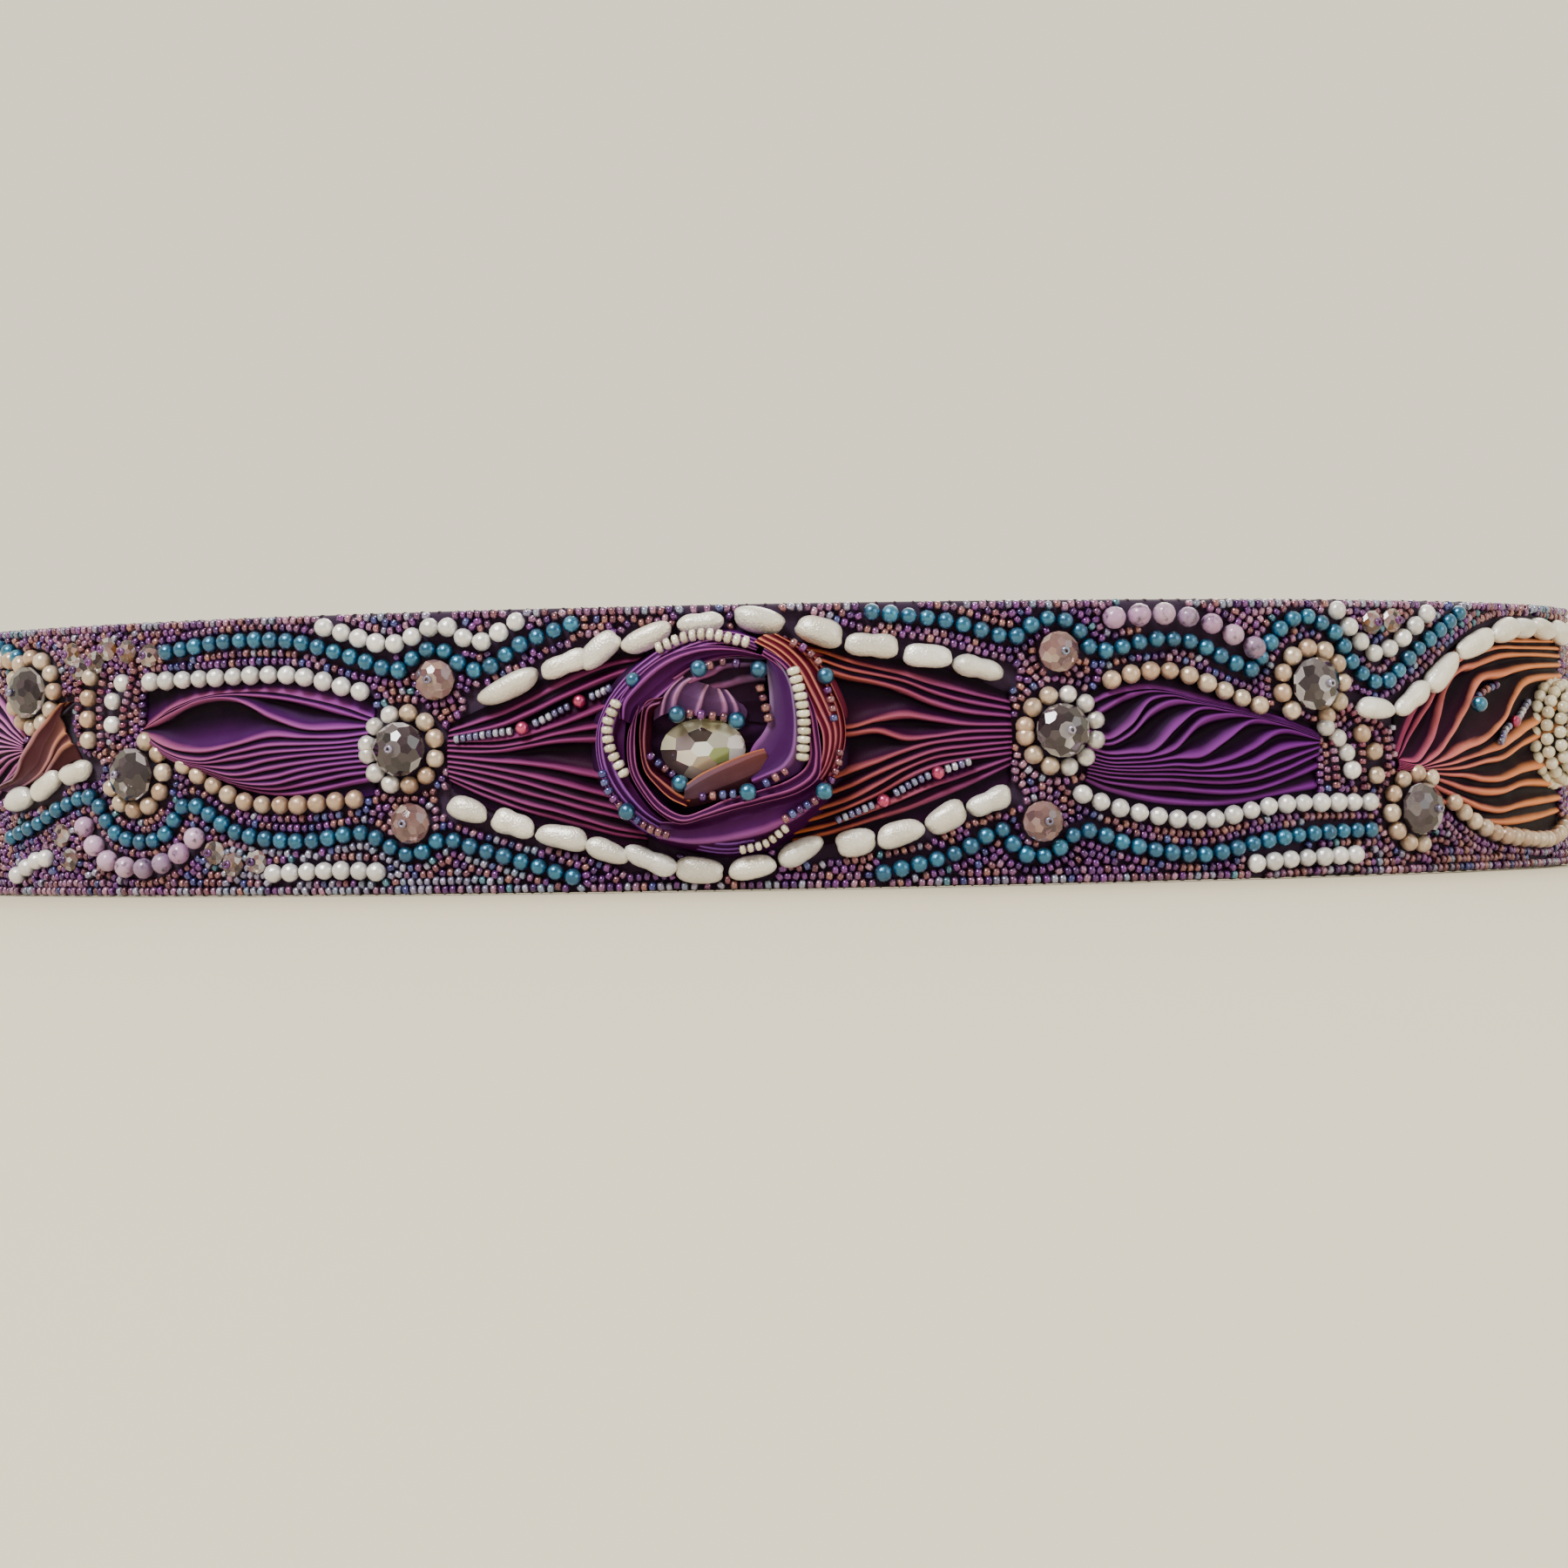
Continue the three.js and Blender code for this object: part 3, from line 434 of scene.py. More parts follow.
            [(-5.4, -10), (-2.2, -9.4), (0.8, -8.6), (4.2, -7.2), (7.4, -5.6), (9.8, -3.8)],
            [(-5.2, -8.4), (-3.2, -8.4), (-0.6, -7.2), (3, -5.8), (6.2, -4.4), (8.4, -2.8)],
            [(-5, -7.2), (-2.8, -5.8), (-0.2, -4.4), (3.2, -2.9), (6, -1.7), (8, -1.1)],
            [(-4.8, -6.1), (-2.6, -4.5), (0, -3.2), (3.4, -1.7), (6, -0.8), (7.6, -0.4)],
        ],
        [(5.2, 5.4, 5.6), (7, 7.6, 7.2), (7.8, 8.8, 8), (7.4, 8.4, 7.8)],
        (0, 1, 2), "silk_umber", (0xB0744E, 0xB46C48, 0x5E4A5E, 0x7A4440),
    ),
    "knot": (
        [
            [(-123.6, 10.5), (-126.6, 8.9), (-129.5, 6.8), (-132.6, 4.1), (-135.4, 2),
             (-138, 0.2), (-138.6, -1), (-141.5, -2.5), (-146, -4)],
            [(-123.7, 10.2), (-126.3, 8.1), (-129.9, 5.2), (-132.6, 2.5), (-134.8, -0.4),
             (-137.2, -2.6), (-141.1, -3.5), (-146, -4.5)],
            [(-124.2, 8), (-126, 5.3), (-128.3, 2.4), (-129.7, -0.5), (-133.1, -2.4),
             (-136.7, -3.6), (-140.4, -4.1), (-145.8, -5)],
            [(-124, 5.1), (-125.6, 4), (-127.2, 2.2), (-128.8, -0.3), (-130.6, -2.2),
             (-134.2, -3.6), (-137, -4.4), (-143, -5.2)],
            [(-122.3, 3.2), (-124.3, 2.5), (-126.2, 1.4), (-127.8, 0), (-129.2, -1.6),
             (-130.8, -3), (-133.1, -4), (-136, -4.8)],
            [(-121.4, 0.2), (-123.6, 0), (-125.6, -1), (-127.4, -2), (-128.8, -3),
             (-130.6, -4), (-133, -4.8), (-136, -5.6)],
        ],
        [(2, 2.4, 1.4), (3.2, 4.2, 2), (3, 3.8, 1.8), (2.2, 2.6, 1.4), (2.4, 2.2, 1.2),
         (0.8, 0.8, 0.8)],
        (2, 5), "silk_umber", (0xC08062, 0xB088B4, 0x7A5048, 0x5A3C6C),
    ),
}

# Of the folds: the painted shade deep in the creases, the depth of the valleys, half the width of a
# lit crest, and the solid that each stands for
FOLD_SHADE = {"outer_right": 0x500A1C, "hood": 0x200A22, "puff": 0x4A2A52, "knot": 0x3E1C22,
              "inner": 0x34061C, "fold": 0x401450, "tube": 0x4A2A34}
FOLD_DEPTH = {
    "outer_left": 0.9, "outer_right": 1.3, "petal": 0.6, "middle": 1.1, "inner": 0.9,
    "arch": 0.8, "fold": 0.5, "hood": 0.8, "puff": 0.7, "tube": 0.3, "knot": 0.7,
}
FOLD_BODY = {"puff": 1.0, "fold": 1.2, "tube": 0.9, "petal": 0.9, "knot": 0.5, "hood": 0.6,
             "arch": 0.9}
FOLD_NODE = {
    "outer_left": "rosette_outer_left",
    "outer_right": "rosette_outer_right",
    "petal": "rosette_petal",
    "middle": "rosette_middle",
    "fold": "rosette_fold",
    "knot": "silk_knot_left",
}

# Beads sewn on the silk: kind, width, pitch and path
ON_SILK = {
    "cream_top": ("ivory", 2.0, 1.4, [(-8.9, 16.6), (-4.7, 18.2), (-1, 18.6), (5, 17.2)]),
    "cream_left": ("ivory", 2.0, 1.45, [(-15.6, 7.4), (-17, 4), (-16.6, 0), (-14.6, -4)]),
    "cream_right": ("ivory", 2.2, 1.5, [(12.4, 12.2), (13.4, 8.1), (13.9, 3.4), (13.6, -1.9)]),
    "cream_low": ("ivory", 1.5, 1.2, [(3.9, -17), (7.5, -16.1), (10.7, -13.7)]),
    "seed_top": ("seed", 1.5, 1.5, [(12.6, 16.9), (14.4, 15.9), (16.5, 13.8)]),
    "seed_right": ("seed", 1.4, 1.5, [(17.9, 9), (18.4, 7), (18.7, 4.4)]),
    "seed_low_right": ("seed", 1.5, 1.5, [(19.6, -1.3), (19.3, -3.4), (18.2, -5.8)]),
    "seed_low": ("seed", 1.5, 1.5, [(15.4, -9.2), (13, -10.6), (10.8, -12)]),
    "seed_low_left": (
        "seed", 1.5, 1.5, [(-18.1, -4.1), (-17.7, -6), (-16.6, -8.2), (-15.6, -9.4)]),
    "seed_bottom": ("seed", 1.5, 1.5, [(-12.8, -11.8), (-10.7, -13.3), (-8, -14.3)]),
    "seed_stone_top": ("seed", 1.6, 1.6, [(-4, 5.6), (-1.2, 5.2), (1.4, 4.9)]),
    "seed_stone_side": ("seed", 1.6, 1.6, [(-9.1, 1.8), (-8.7, 3.4), (-7.5, 4.4)]),
    "seed_stone_right": ("seed", 1.5, 1.5, [(4.8, 3), (5.4, 1.4)]),
    "seed_stone_left": ("seed", 1.4, 1.55, [(-10.3, -1.4), (-8.7, -3.1), (-7.1, -4.4)]),
    "seed_tube_left": ("seed", 1.5, 1.5, [(-2.1, -8.2), (0, -8), (2.7, -7.8)]),
    "seed_tube_right": ("seed", 1.5, 1.5, [(6.4, -7), (8.4, -5.8), (10.8, -4.3)]),
    "seed_top_in": ("seed", 1.5, 1.8, [(-0.6, 13.4), (1.4, 13.9), (3.5, 13.6)]),
    "seed_right_in": ("seed", 1.6, 1.7, [(7.2, 9.6), (7.6, 8), (8, 6.4), (8.4, 4.6)]),
    "pink_left": ("silver", 1.4, 1.16, [(-43.6, 2.2), (-38, 2.9), (-32.2, 3.8), (-24.3, 7.5),
                                        (-17.6, 10.1)]),
    "pink_right": ("silver", 1.4, 1.16, [(19.6, -12.4), (26.3, -9.6), (33.9, -5.6),
                                         (41, -3.2)]),
    "pink_outer": ("silver", 1.4, 1.3, [(148, -1), (152, 1.4), (156, 3), (161, 6)]),
    "teal_outer": ("seed", 1.5, 1.55, [(142, 6.4), (145, 8), (148.6, 9)]),
}
TEAL_ON_SILK = [
    (-2.3, 12.9), (7, 12.6), (-5.9, 5.5), (3.4, 4.3), (17.6, 11.4), (-5.8, -5.9), (5, -7.5),
    (16.9, -7.6), (-14.3, -10.4), (140.4, 5.6)]
TEAL_HALF_SEEN = [(-12.9, 11.3)]
PINK_ON_SILK = [(-32.2, 3.8), (-22.9, 8.1), (26.9, -9.4), (36, -4.9), (154.6, 2.6)]

# Raised columns of seed beads beside the short rows of pearls
COLUMNS = [
    [(-119.8, 15.4), (-120.8, 11.4), (-120.9, 7), (-120.4, 3)],
    [(-114.2, 15), (-115.2, 10.8), (-115.4, 6.5), (-115.2, 2.8)],
    [(-107, 15.4), (-108.6, 11), (-109.6, 8.3), (-109.8, 4.6)],
    [(111, 5), (108.6, 3.6), (107.8, 0.7), (107.9, -2.4), (108.3, -5.4), (108.4, -8.2)],
    [(111.4, 5.4), (113, 3), (113.9, 0.6), (114, -2.4), (114, -5.4), (114.2, -8.6)],
    [(113.6, 3.6), (116.6, 2.8), (119, 1), (119.8, -2), (119.7, -5), (119, -8)],
]

# Rice pearls half under the rosette
RICE_TUCKED = [
    (-19.2, 16.6), (-11.2, 18.4), (-2.4, 20.6), (7.2, 20.9), (-11.4, -18.6), (-3.2, -20.4),
    (5.4, -20), (13.4, -17.4)]

# Stretches of u in which the pearls of a ring are white
RING_TINTS = {"centre_left": (-70, -53), "centre_right": (56.5, 70)}

# Facets of the oval stone, tinted light and dark as painted reflections of the foiled cut: the table,
# the six round it from the right upper one leftwards, and the twelve of the outer ring in the same
# order
STONE_TINTS = [
    0xF6F6F4, 0xB8B4A8, 0x2E1A1A, 0x8A7A80, 0xE4D8CC, 0xB4A690, 0x86985C,
    0xA89C98, 0xDCD8C0, 0xCCC49C, 0xE0DCC4, 0x9C947C, 0xD8D4B8, 0x4A3A40, 0x665458, 0xCCC0BC,
    0xC0B4A8, 0xA0A080, 0xF4F6F8]

# Small faceted beads that fill the corners between the rows
CORNER_CUTS = [
    (-122.6, 18.8), (-120.6, 16), (-116.4, 17.2), (-113.4, 19.4), (-108.6, 18.8), (-103.6, 18),
    (-126.2, -13.2), (-124, -17.4), (-90.2, -16.4), (-86.4, -18.4), (-81.6, -18), (116.8, 19.8),
    (121.4, 20.2)]
LOOSE_TEAL = [(-144.6, 20.8), (-141.5, 20), (-138.6, 18.9)]
LOOSE_WHITE = [(-139.6, -20.2), (-136.4, -18.8), (-133.4, -17.6), (-130.6, -17.2)]

# Everything sewn on the backing, as circles [u, v, radius]; each silk panel's lower and upper edge;
# and every silk surface, as flat points
TAKEN = []
SILK_EDGES = []
SILK_TOPS = []

TURNS = np.linspace(0, 1.2 * math.pi, 4801)
MIDDLES = (TURNS[1:] + TURNS[:-1]) / 2
ALONG = np.concatenate(
    [[0], np.cumsum(np.hypot(WAIST_A * np.cos(MIDDLES), WAIST_B * np.sin(MIDDLES)) * TURNS[1])])
HALF_ROUND = np.interp(math.pi, TURNS, ALONG)
LAP_FROM = HALF_ROUND - STRAP_LAP - LAP_RAMP - LAP_CLEAR


def turn_at(u):
    """The ellipse's angle at distance u from the rosette along the backing's outer face."""
    return np.sign(u) * np.interp(np.abs(u), ALONG, TURNS)


def bend(flat):
    """Bends flat points [u, v, h] in mm round the waist, to metres:
    ((A + h) sin t, -(B + h) cos t, v), where t is the ellipse's angle at u."""
    turn = turn_at(flat[..., 0])
    h = flat[..., 2]
    x = (WAIST_A + h) * np.sin(turn)
    y = -(WAIST_B + h) * np.cos(turn)
    return np.stack([x, y, flat[..., 1]], -1) / 1000


def spline(path, steps=16):
    """Centripetal Catmull-Rom curve: a cubic between each two points, whose slopes are those of
    the parabola through three neighbours, with the square root of the distance as parameter."""
    p = np.asarray(path, float)
    gap = np.sqrt(np.linalg.norm(np.diff(p, axis=0), axis=1))[:, None]
    slope = np.diff(p, axis=0) / gap
    inner = (slope[:-1] * gap[1:] + slope[1:] * gap[:-1]) / (gap[1:] + gap[:-1])
    lean = np.vstack([slope[:1], inner, slope[-1:]])
    s = (np.arange(steps) / steps)[None, :, None]
    a, b = p[:-1, None], p[1:, None]
    m, n = lean[:-1, None] * gap[:, None], lean[1:, None] * gap[:, None]
    curve = (2 * s**3 - 3 * s**2 + 1) * a + (s**3 - 2 * s**2 + s) * m
    curve = curve + (3 * s**2 - 2 * s**3) * b + (s**3 - s**2) * n
    return np.vstack([curve.reshape(-1, p.shape[1]), p[-1:]])


def length_of(line):
    """Distance run along a line of points, at each point."""
    return np.concatenate([[0], np.cumsum(np.linalg.norm(np.diff(line, axis=0), axis=1))])


def walk(path, count):
    """count points at equal distances along the spline through path."""
    line = spline(path)
    run = length_of(line)
    at = np.linspace(0, run[-1], count)
    return np.stack([np.interp(at, run, column) for column in line.T], -1)


def ways(points):
    """Direction of travel at each point of a line."""
    way = np.gradient(points, axis=0)
    return way / np.linalg.norm(way, axis=1, keepdims=True)


def linear(code):
    """A colour code as red, green, blue and alpha in linear light."""
    parts = np.array([code >> 16, (code >> 8) & 255, code & 255]) / 255
    light = np.where(parts <= 0.04045, parts / 12.92, ((parts + 0.055) / 1.055) ** 2.4)
    return (*light.tolist(), 1.0)


# Meshes


def make_mesh(name, points, faces, material, smooth=True):
    """A mesh object from points in metres and faces of three or four corners."""
    mesh = bpy.data.meshes.new(name)
    mesh.vertices.add(len(points))
    mesh.vertices.foreach_set("co", np.ascontiguousarray(points, np.float32).ravel())
    mesh.loops.add(faces.size)
    mesh.loops.foreach_set("vertex_index", np.ascontiguousarray(faces, np.int32).ravel())
    mesh.polygons.add(len(faces))
    starts = np.arange(0, faces.size, faces.shape[1], dtype=np.int32)
    mesh.polygons.foreach_set("loop_start", starts)
    mesh.polygons.foreach_set("use_smooth", np.full(len(faces), smooth))
    mesh.update(calc_edges=True)
    mesh.validate()
    mesh.materials.append(material)
    piece = bpy.data.objects.new(name, mesh)
    bpy.context.scene.collection.objects.link(piece)
    return piece


def paint(piece, label, colours):
    """Stores a colour at each point, or at each corner if there is one colour a face."""
    mesh = piece.data
    colours = np.asarray(colours, np.float32)
    if colours.shape[1] == 3:
        colours = np.hstack([colours, np.ones((len(colours), 1), np.float32)])
    domain = "POINT"
    if len(colours) == len(mesh.polygons) and len(colours) != len(mesh.vertices):
        colours = np.repeat(colours, len(mesh.loops) // len(mesh.polygons), axis=0)
        domain = "CORNER"
    layer = mesh.color_attributes.new(label, "FLOAT_COLOR", domain)
    layer.data.foreach_set("color", np.ascontiguousarray(colours, np.float32).ravel())


def unwrap(piece, places):
    """A UV map from a place in metres at each point."""
    mesh = piece.data
    corner = np.empty(len(mesh.loops), np.int32)
    mesh.loops.foreach_get("vertex_index", corner)
    layer = mesh.uv_layers.new(name="cloth")
    layer.data.foreach_set("uv", np.ascontiguousarray(places[corner], np.float32).ravel())


def grid_faces(rows, cols, closed=False):
    """Quads of a grid of points, and the column that closes it where it goes round."""
    i, j = np.meshgrid(np.arange(rows - 1), np.arange(cols if closed else cols - 1), indexing="ij")
    a, b = i * cols + j, i * cols + (j + 1) % cols
    return np.stack([a, a + cols, b + cols, b], -1).reshape(-1, 4)


def facing_out(points, faces):
    """The faces, turned round if the closed body that they bound has a negative volume."""
    a, b, c = (points[faces[:, k]] for k in range(3))
    volume = np.einsum("ij,ij->i", a, np.cross(b, c)).sum()
    if faces.shape[1] == 4:
        d = points[faces[:, 3]]
        volume += np.einsum("ij,ij->i", a, np.cross(c, d)).sum()
    return faces if volume > 0 else faces[:, ::-1]


def thin_cloth(name, grid, wall, material, fold=None):
    """A closed shell: the grid of flat points, the same grid set back by wall, and a rim."""
    rows, cols = grid.shape[:2]
    back = grid - [0, 0, wall]
    flat = np.vstack([grid.reshape(-1, 3), back.reshape(-1, 3)])
    front = grid_faces(rows, cols)
    size = rows * cols
    index = np.arange(size).reshape(rows, cols)
    edge = np.concatenate([index[0, :], index[1:, -1], index[-1, -2::-1], index[-2:0:-1, 0]])
    after = np.roll(edge, -1)
    rim = np.stack([edge, after, after + size, edge + size], -1)
    faces = np.vstack([front, front[:, ::-1] + size, rim])
    points = bend(flat)
    piece = make_mesh(name, points, facing_out(points, faces), material)
    run = np.cumsum(np.linalg.norm(np.diff(grid, axis=0, prepend=grid[:1]), axis=2), axis=0)
    span = np.cumsum(np.linalg.norm(np.diff(grid, axis=1, prepend=grid[:, :1]), axis=2), axis=1)
    place = np.stack([run, span], -1).reshape(-1, 2) / 1000
    unwrap(piece, np.vstack([place, place]))
    if fold is not None:
        paint(piece, "fold", np.vstack([fold.reshape(-1, 3)] * 2))
    wide, long = float(span[:, -1].mean()) / 1000, float(run[-1].mean()) / 1000
    cut = (max(LEAST_SIDE, wide), max(LEAST_SIDE, long))
    return piece, {"flat": cut, "area": wide * long}


def lathe(profile, sides, closed=False, twist=0.0):
    """Rings round the x axis at [x, radius]. The ends are closed by a point, or the last ring
    joins the first. Every odd ring is turned by twist of a side."""
    rings = []
    for k, (x, radius) in enumerate(profile):
        turn = (np.arange(sides) + twist * (k % 2)) / sides * 2 * math.pi
        rings.append(np.stack([np.full(sides, x), radius * np.cos(turn), radius * np.sin(turn)], -1))
    count = len(rings)
    points = np.vstack(rings)
    faces = []
    for k in range(count if closed else count - 1):
        a = k * sides + np.arange(sides)
        b = k * sides + (np.arange(sides) + 1) % sides
        c, d = (a + sides) % (count * sides), (b + sides) % (count * sides)
        if twist and k % 2:
            faces += [np.stack([a, b, d], -1), np.stack([a, d, c], -1)]
        else:
            faces += [np.stack([a, b, c], -1), np.stack([b, d, c], -1)]
    if not closed:
        for k, way in ((0, 1), (count - 1, -1)):
            middle = len(points)
            points = np.vstack([points, rings[k].mean(0)])
            a = k * sides + np.arange(sides)
            b = k * sides + (np.arange(sides) + 1) % sides
            cap = np.stack([np.full(sides, middle), b, a], -1)
            faces.append(cap[:, ::way])
    faces = np.vstack(faces)
    return points, facing_out(points, faces)


def ball(rings, sides):
    """A round bead: x = cos a, radius = sin a."""
    turn = np.linspace(0, math.pi, rings + 2)[1:-1]
    return lathe(np.stack([np.cos(turn), np.sin(turn)], -1), sides)


def drum(sides):
    """A seed bead: a rounded ring round the thread, with a hole."""
    return lathe([(-0.36, 0.24), (-0.2, 0.5), (0.2, 0.5), (0.36, 0.24)], sides, closed=True)


def along_out_up(u):
    """Unit vectors along the sash, and straight out of it, at u."""
    turn = turn_at(u)
    along = np.stack([WAIST_A * np.cos(turn), WAIST_B * np.sin(turn), np.zeros_like(turn)], -1)
    along /= np.linalg.norm(along, axis=1, keepdims=True)
    out = np.stack([along[:, 1], -along[:, 0], np.zeros_like(turn)], -1)
    return along, out, np.broadcast_to([0.0, 0.0, 1.0], along.shape)


def strew(name, shape, places, sizes, way, material, tints, upright=False, wobble=0.0,
          smooth=True, seed=1, knobs=None):
    """One mesh of many beads. Each stands at a flat place with its own size along the thread,
    across it and out, its hole along way, or straight out if upright. There is one tint a bead,
    or one a face. knobs make a bead fatter towards one end and give it a waist."""
    verts, faces = shape
    places = np.asarray(places, float).reshape(-1, 3)
    sizes = np.broadcast_to(np.asarray(sizes, float), (len(places), 3))
    way = np.broadcast_to(np.asarray(way, float), (len(places), 2))
    along, out, up = along_out_up(places[:, 0])
    thread = along * way[:, :1] + up * way[:, 1:]
    across = np.cross(out, thread)
    if upright:
        thread, across, out = out, thread, across
    local = verts[None] * sizes[:, None]
    if knobs is not None:
        x = verts[None, :, 0]
        girth = 1 + knobs[:, :1] * x - knobs[:, 1:] * np.exp(-((x / 0.36) ** 2))
        local[..., 1:] = local[..., 1:] * girth[..., None]
    if wobble:
        rng = np.random.default_rng(seed)
        phase = rng.uniform(0, 2 * math.pi, (len(places), 1, 3))
        swell = np.sin(verts[None] * [2.6, 3.4, 3.0] + phase).sum(-1, keepdims=True)
        local = local * (1 + wobble * swell)
    world = local[..., :1] * thread[:, None] + local[..., 1:2] * across[:, None]
    world = (world + local[..., 2:] * out[:, None]) / 1000 + bend(places)[:, None]
    tiled = faces[None] + (np.arange(len(places)) * len(verts))[:, None, None]
    piece = make_mesh(name, world.reshape(-1, 3), tiled.reshape(-1, 3), material, smooth)
    if len(tints) != len(places) * len(faces):
        tints = np.repeat(tints, len(verts), axis=0)
    paint(piece, "tint", tints)
    return piece


# Materials


def add(tree, kind, inputs=None, **settings):
    """A node with its settings, and its inputs linked to sockets or set to values."""
    made = tree.nodes.new("ShaderNode" + kind)
    for key, value in settings.items():
        setattr(made, key, value)
    for key, value in (inputs or {}).items():
        socket = made.inputs[key]
        if isinstance(value, bpy.types.NodeSocket):
            tree.links.new(value, socket)
        else:
            socket.default_value = value
    return made


def new_group(name, takes, gives):
    """An empty node group with named inputs and outputs."""
    tree = bpy.data.node_groups.new(name, "ShaderNodeTree")
    for label, kind, value in takes:
        socket = tree.interface.new_socket(label, in_out="INPUT", socket_type="NodeSocket" + kind)
        if kind != "Vector":
            socket.default_value = value
    for label, kind in gives:
        tree.interface.new_socket(label, in_out="OUTPUT", socket_type="NodeSocket" + kind)
    return tree, tree.nodes.new("NodeGroupInput").outputs, tree.nodes.new("NodeGroupOutput").inputs


def blend_colours(tree, share, first, second):
    """The colour that mixes first and second by share. In a Mix node of colours, the share is
    input 0, the colours are inputs 6 and 7, and the result is output 2."""
    return add(tree, "Mix", {0: share, 6: first, 7: second}, data_type="RGBA").outputs[2]


def sums(tree, operation, first, second=0.0):
    """A Math node's result."""
    return add(tree, "Math", {0: first, 1: second}, operation=operation).outputs[0]


def weave_group():
    """Plain weave: two waves at right angles, as a height and a thread mask."""
    tree, takes, gives = new_group(
        "Cloth weave",
        [("Place", "Vector", None), ("Threads", "Float", 2000.0), ("Slub", "Float", 0.3)],
        [("Height", "Float"), ("Mask", "Float")])
    bumps = []
    for axis in "XY":
        wave = add(tree, "TexWave", {"Vector": takes["Place"], "Scale": takes["Threads"],
                                     "Distortion": 1.2, "Detail": 1.0, "Detail Scale": 0.4},
                   bands_direction=axis)
        bumps.append(wave.outputs["Fac"])
    weave = sums(tree, "MULTIPLY", *bumps)
    slub = add(tree, "TexNoise", {"Vector": takes["Place"], "Scale": 420.0, "Detail": 3.0})
    uneven = sums(tree, "MULTIPLY", slub.outputs["Fac"], takes["Slub"])
    tree.links.new(sums(tree, "ADD", weave, uneven), gives["Height"])
    tree.links.new(weave, gives["Mask"])
    return tree


def dye_and_shade_group():
    """Dyed silk with painted light: the crests of the pleats and the cloth between them each run from
    one dye to another along the piece, blotched by noise, with fine threads. The crests carry a
    painted highlight. Past a crest the cloth goes nearly black as painted shade and comes back to its
    dye towards the next one."""
    tree, takes, gives = new_group(
        "Dyed silk with painted shade",
        [("Fold", "Color", (0, 0, 0, 1)), ("Place", "Vector", None),
         ("Lit crest start", "Color", (0.5, 0.1, 0.3, 1)), ("Lit crest end", "Color", (0.5, 0.1, 0.3, 1)),
         ("Cloth start", "Color", (0.1, 0, 0.05, 1)), ("Cloth end", "Color", (0.1, 0, 0.05, 1)),
         ("Shade", "Color", (0.001, 0.0003, 0.002, 1)), ("Blotch", "Float", 0.35)],
        [("Color", "Color"), ("Height", "Float")])
    parts = add(tree, "SeparateColor", {"Color": takes["Fold"]})
    # Red is the painted highlight on the crests, green the run along the piece, and blue how far the
    # cloth has come back from painted shade towards its lit dye
    crest, run, rise = (parts.outputs[key] for key in ("Red", "Green", "Blue"))
    blot = add(tree, "TexNoise", {"Vector": takes["Place"], "Scale": 130.0, "Detail": 4.0,
                                  "Roughness": 0.6})
    drift = sums(tree, "MULTIPLY", sums(tree, "SUBTRACT", blot.outputs["Fac"], 0.5),
                 takes["Blotch"])
    shifted = add(tree, "Clamp", {"Value": sums(tree, "ADD", run, drift)}).outputs[0]
    light = blend_colours(tree, shifted, takes["Lit crest start"], takes["Lit crest end"])
    cloth = blend_colours(tree, shifted, takes["Cloth start"], takes["Cloth end"])
    # Painted shade: past a crest the cloth starts at the Shade colour and climbs back to its dye
    # towards the next crest, as if lit
    climb = add(tree, "Clamp", {"Value": sums(tree, "ADD", rise, drift)}).outputs[0]
    between = blend_colours(tree, climb, takes["Shade"], cloth)
    edge = add(tree, "MapRange", {"Value": sums(tree, "ADD", crest, drift), "From Min": 0.25,
                                  "From Max": 0.9})
    # Painted highlight: the lit crest colour laid over the crests
    dyed_and_lit = blend_colours(tree, edge.outputs[0], between, light)
    thread = add(tree, "TexWave", {"Vector": takes["Place"], "Scale": 1500.0, "Distortion": 2.0,
                                   "Detail": 2.0}, bands_direction="X")
    darker = blend_colours(tree, sums(tree, "MULTIPLY", thread.outputs["Fac"], 0.14), dyed_and_lit,
                           takes["Shade"])
    tree.links.new(darker, gives["Color"])
    crumple = add(tree, "TexNoise", {"Vector": takes["Place"], "Scale": 700.0, "Detail": 3.0})
    height = sums(tree, "ADD", sums(tree, "MULTIPLY", thread.outputs["Fac"], 0.3),
                  crumple.outputs["Fac"])
    tree.links.new(height, gives["Height"])
    return tree


def skin_group():
    """A bead's coat: its tint, clouded by noise, with a fine orange-peel height."""
    tree, takes, gives = new_group(
        "Bead skin",
        [("Tint", "Color", (0.5, 0.5, 0.5, 1)), ("Place", "Vector", None),
         ("Cloud", "Color", (0.2, 0.2, 0.2, 1)), ("Amount", "Float", 0.3),
         ("Least", "Float", 0.4), ("Scale", "Float", 500.0)],
        [("Color", "Color"), ("Height", "Float")])
    cloud = add(tree, "TexNoise", {"Vector": takes["Place"], "Scale": takes["Scale"],
                                   "Detail": 3.0})
    ramp = add(tree, "MapRange", {"Value": cloud.outputs["Fac"], "From Min": takes["Least"],
                                  "From Max": 0.7})
    share = sums(tree, "MULTIPLY", ramp.outputs[0], takes["Amount"])
    tree.links.new(blend_colours(tree, share, takes["Tint"], takes["Cloud"]), gives["Color"])
    peel = add(tree, "TexNoise", {"Vector": takes["Place"], "Scale": 2600.0, "Detail": 2.0})
    tree.links.new(sums(tree, "ADD", cloud.outputs["Fac"], peel.outputs["Fac"]), gives["Height"])
    return tree


WEAVE = weave_group()
DYE_AND_SHADE = dye_and_shade_group()
SKIN = skin_group()


def material(name, **shine):
    """An empty material with its shader's own numbers set."""
    made = bpy.data.materials.new(name)
    made.use_nodes = True
    tree = made.node_tree
    shader = tree.nodes["Principled BSDF"]
    for key, value in shine.items():
        shader.inputs[key.replace("_", " ")].default_value = value
    return made, tree, shader


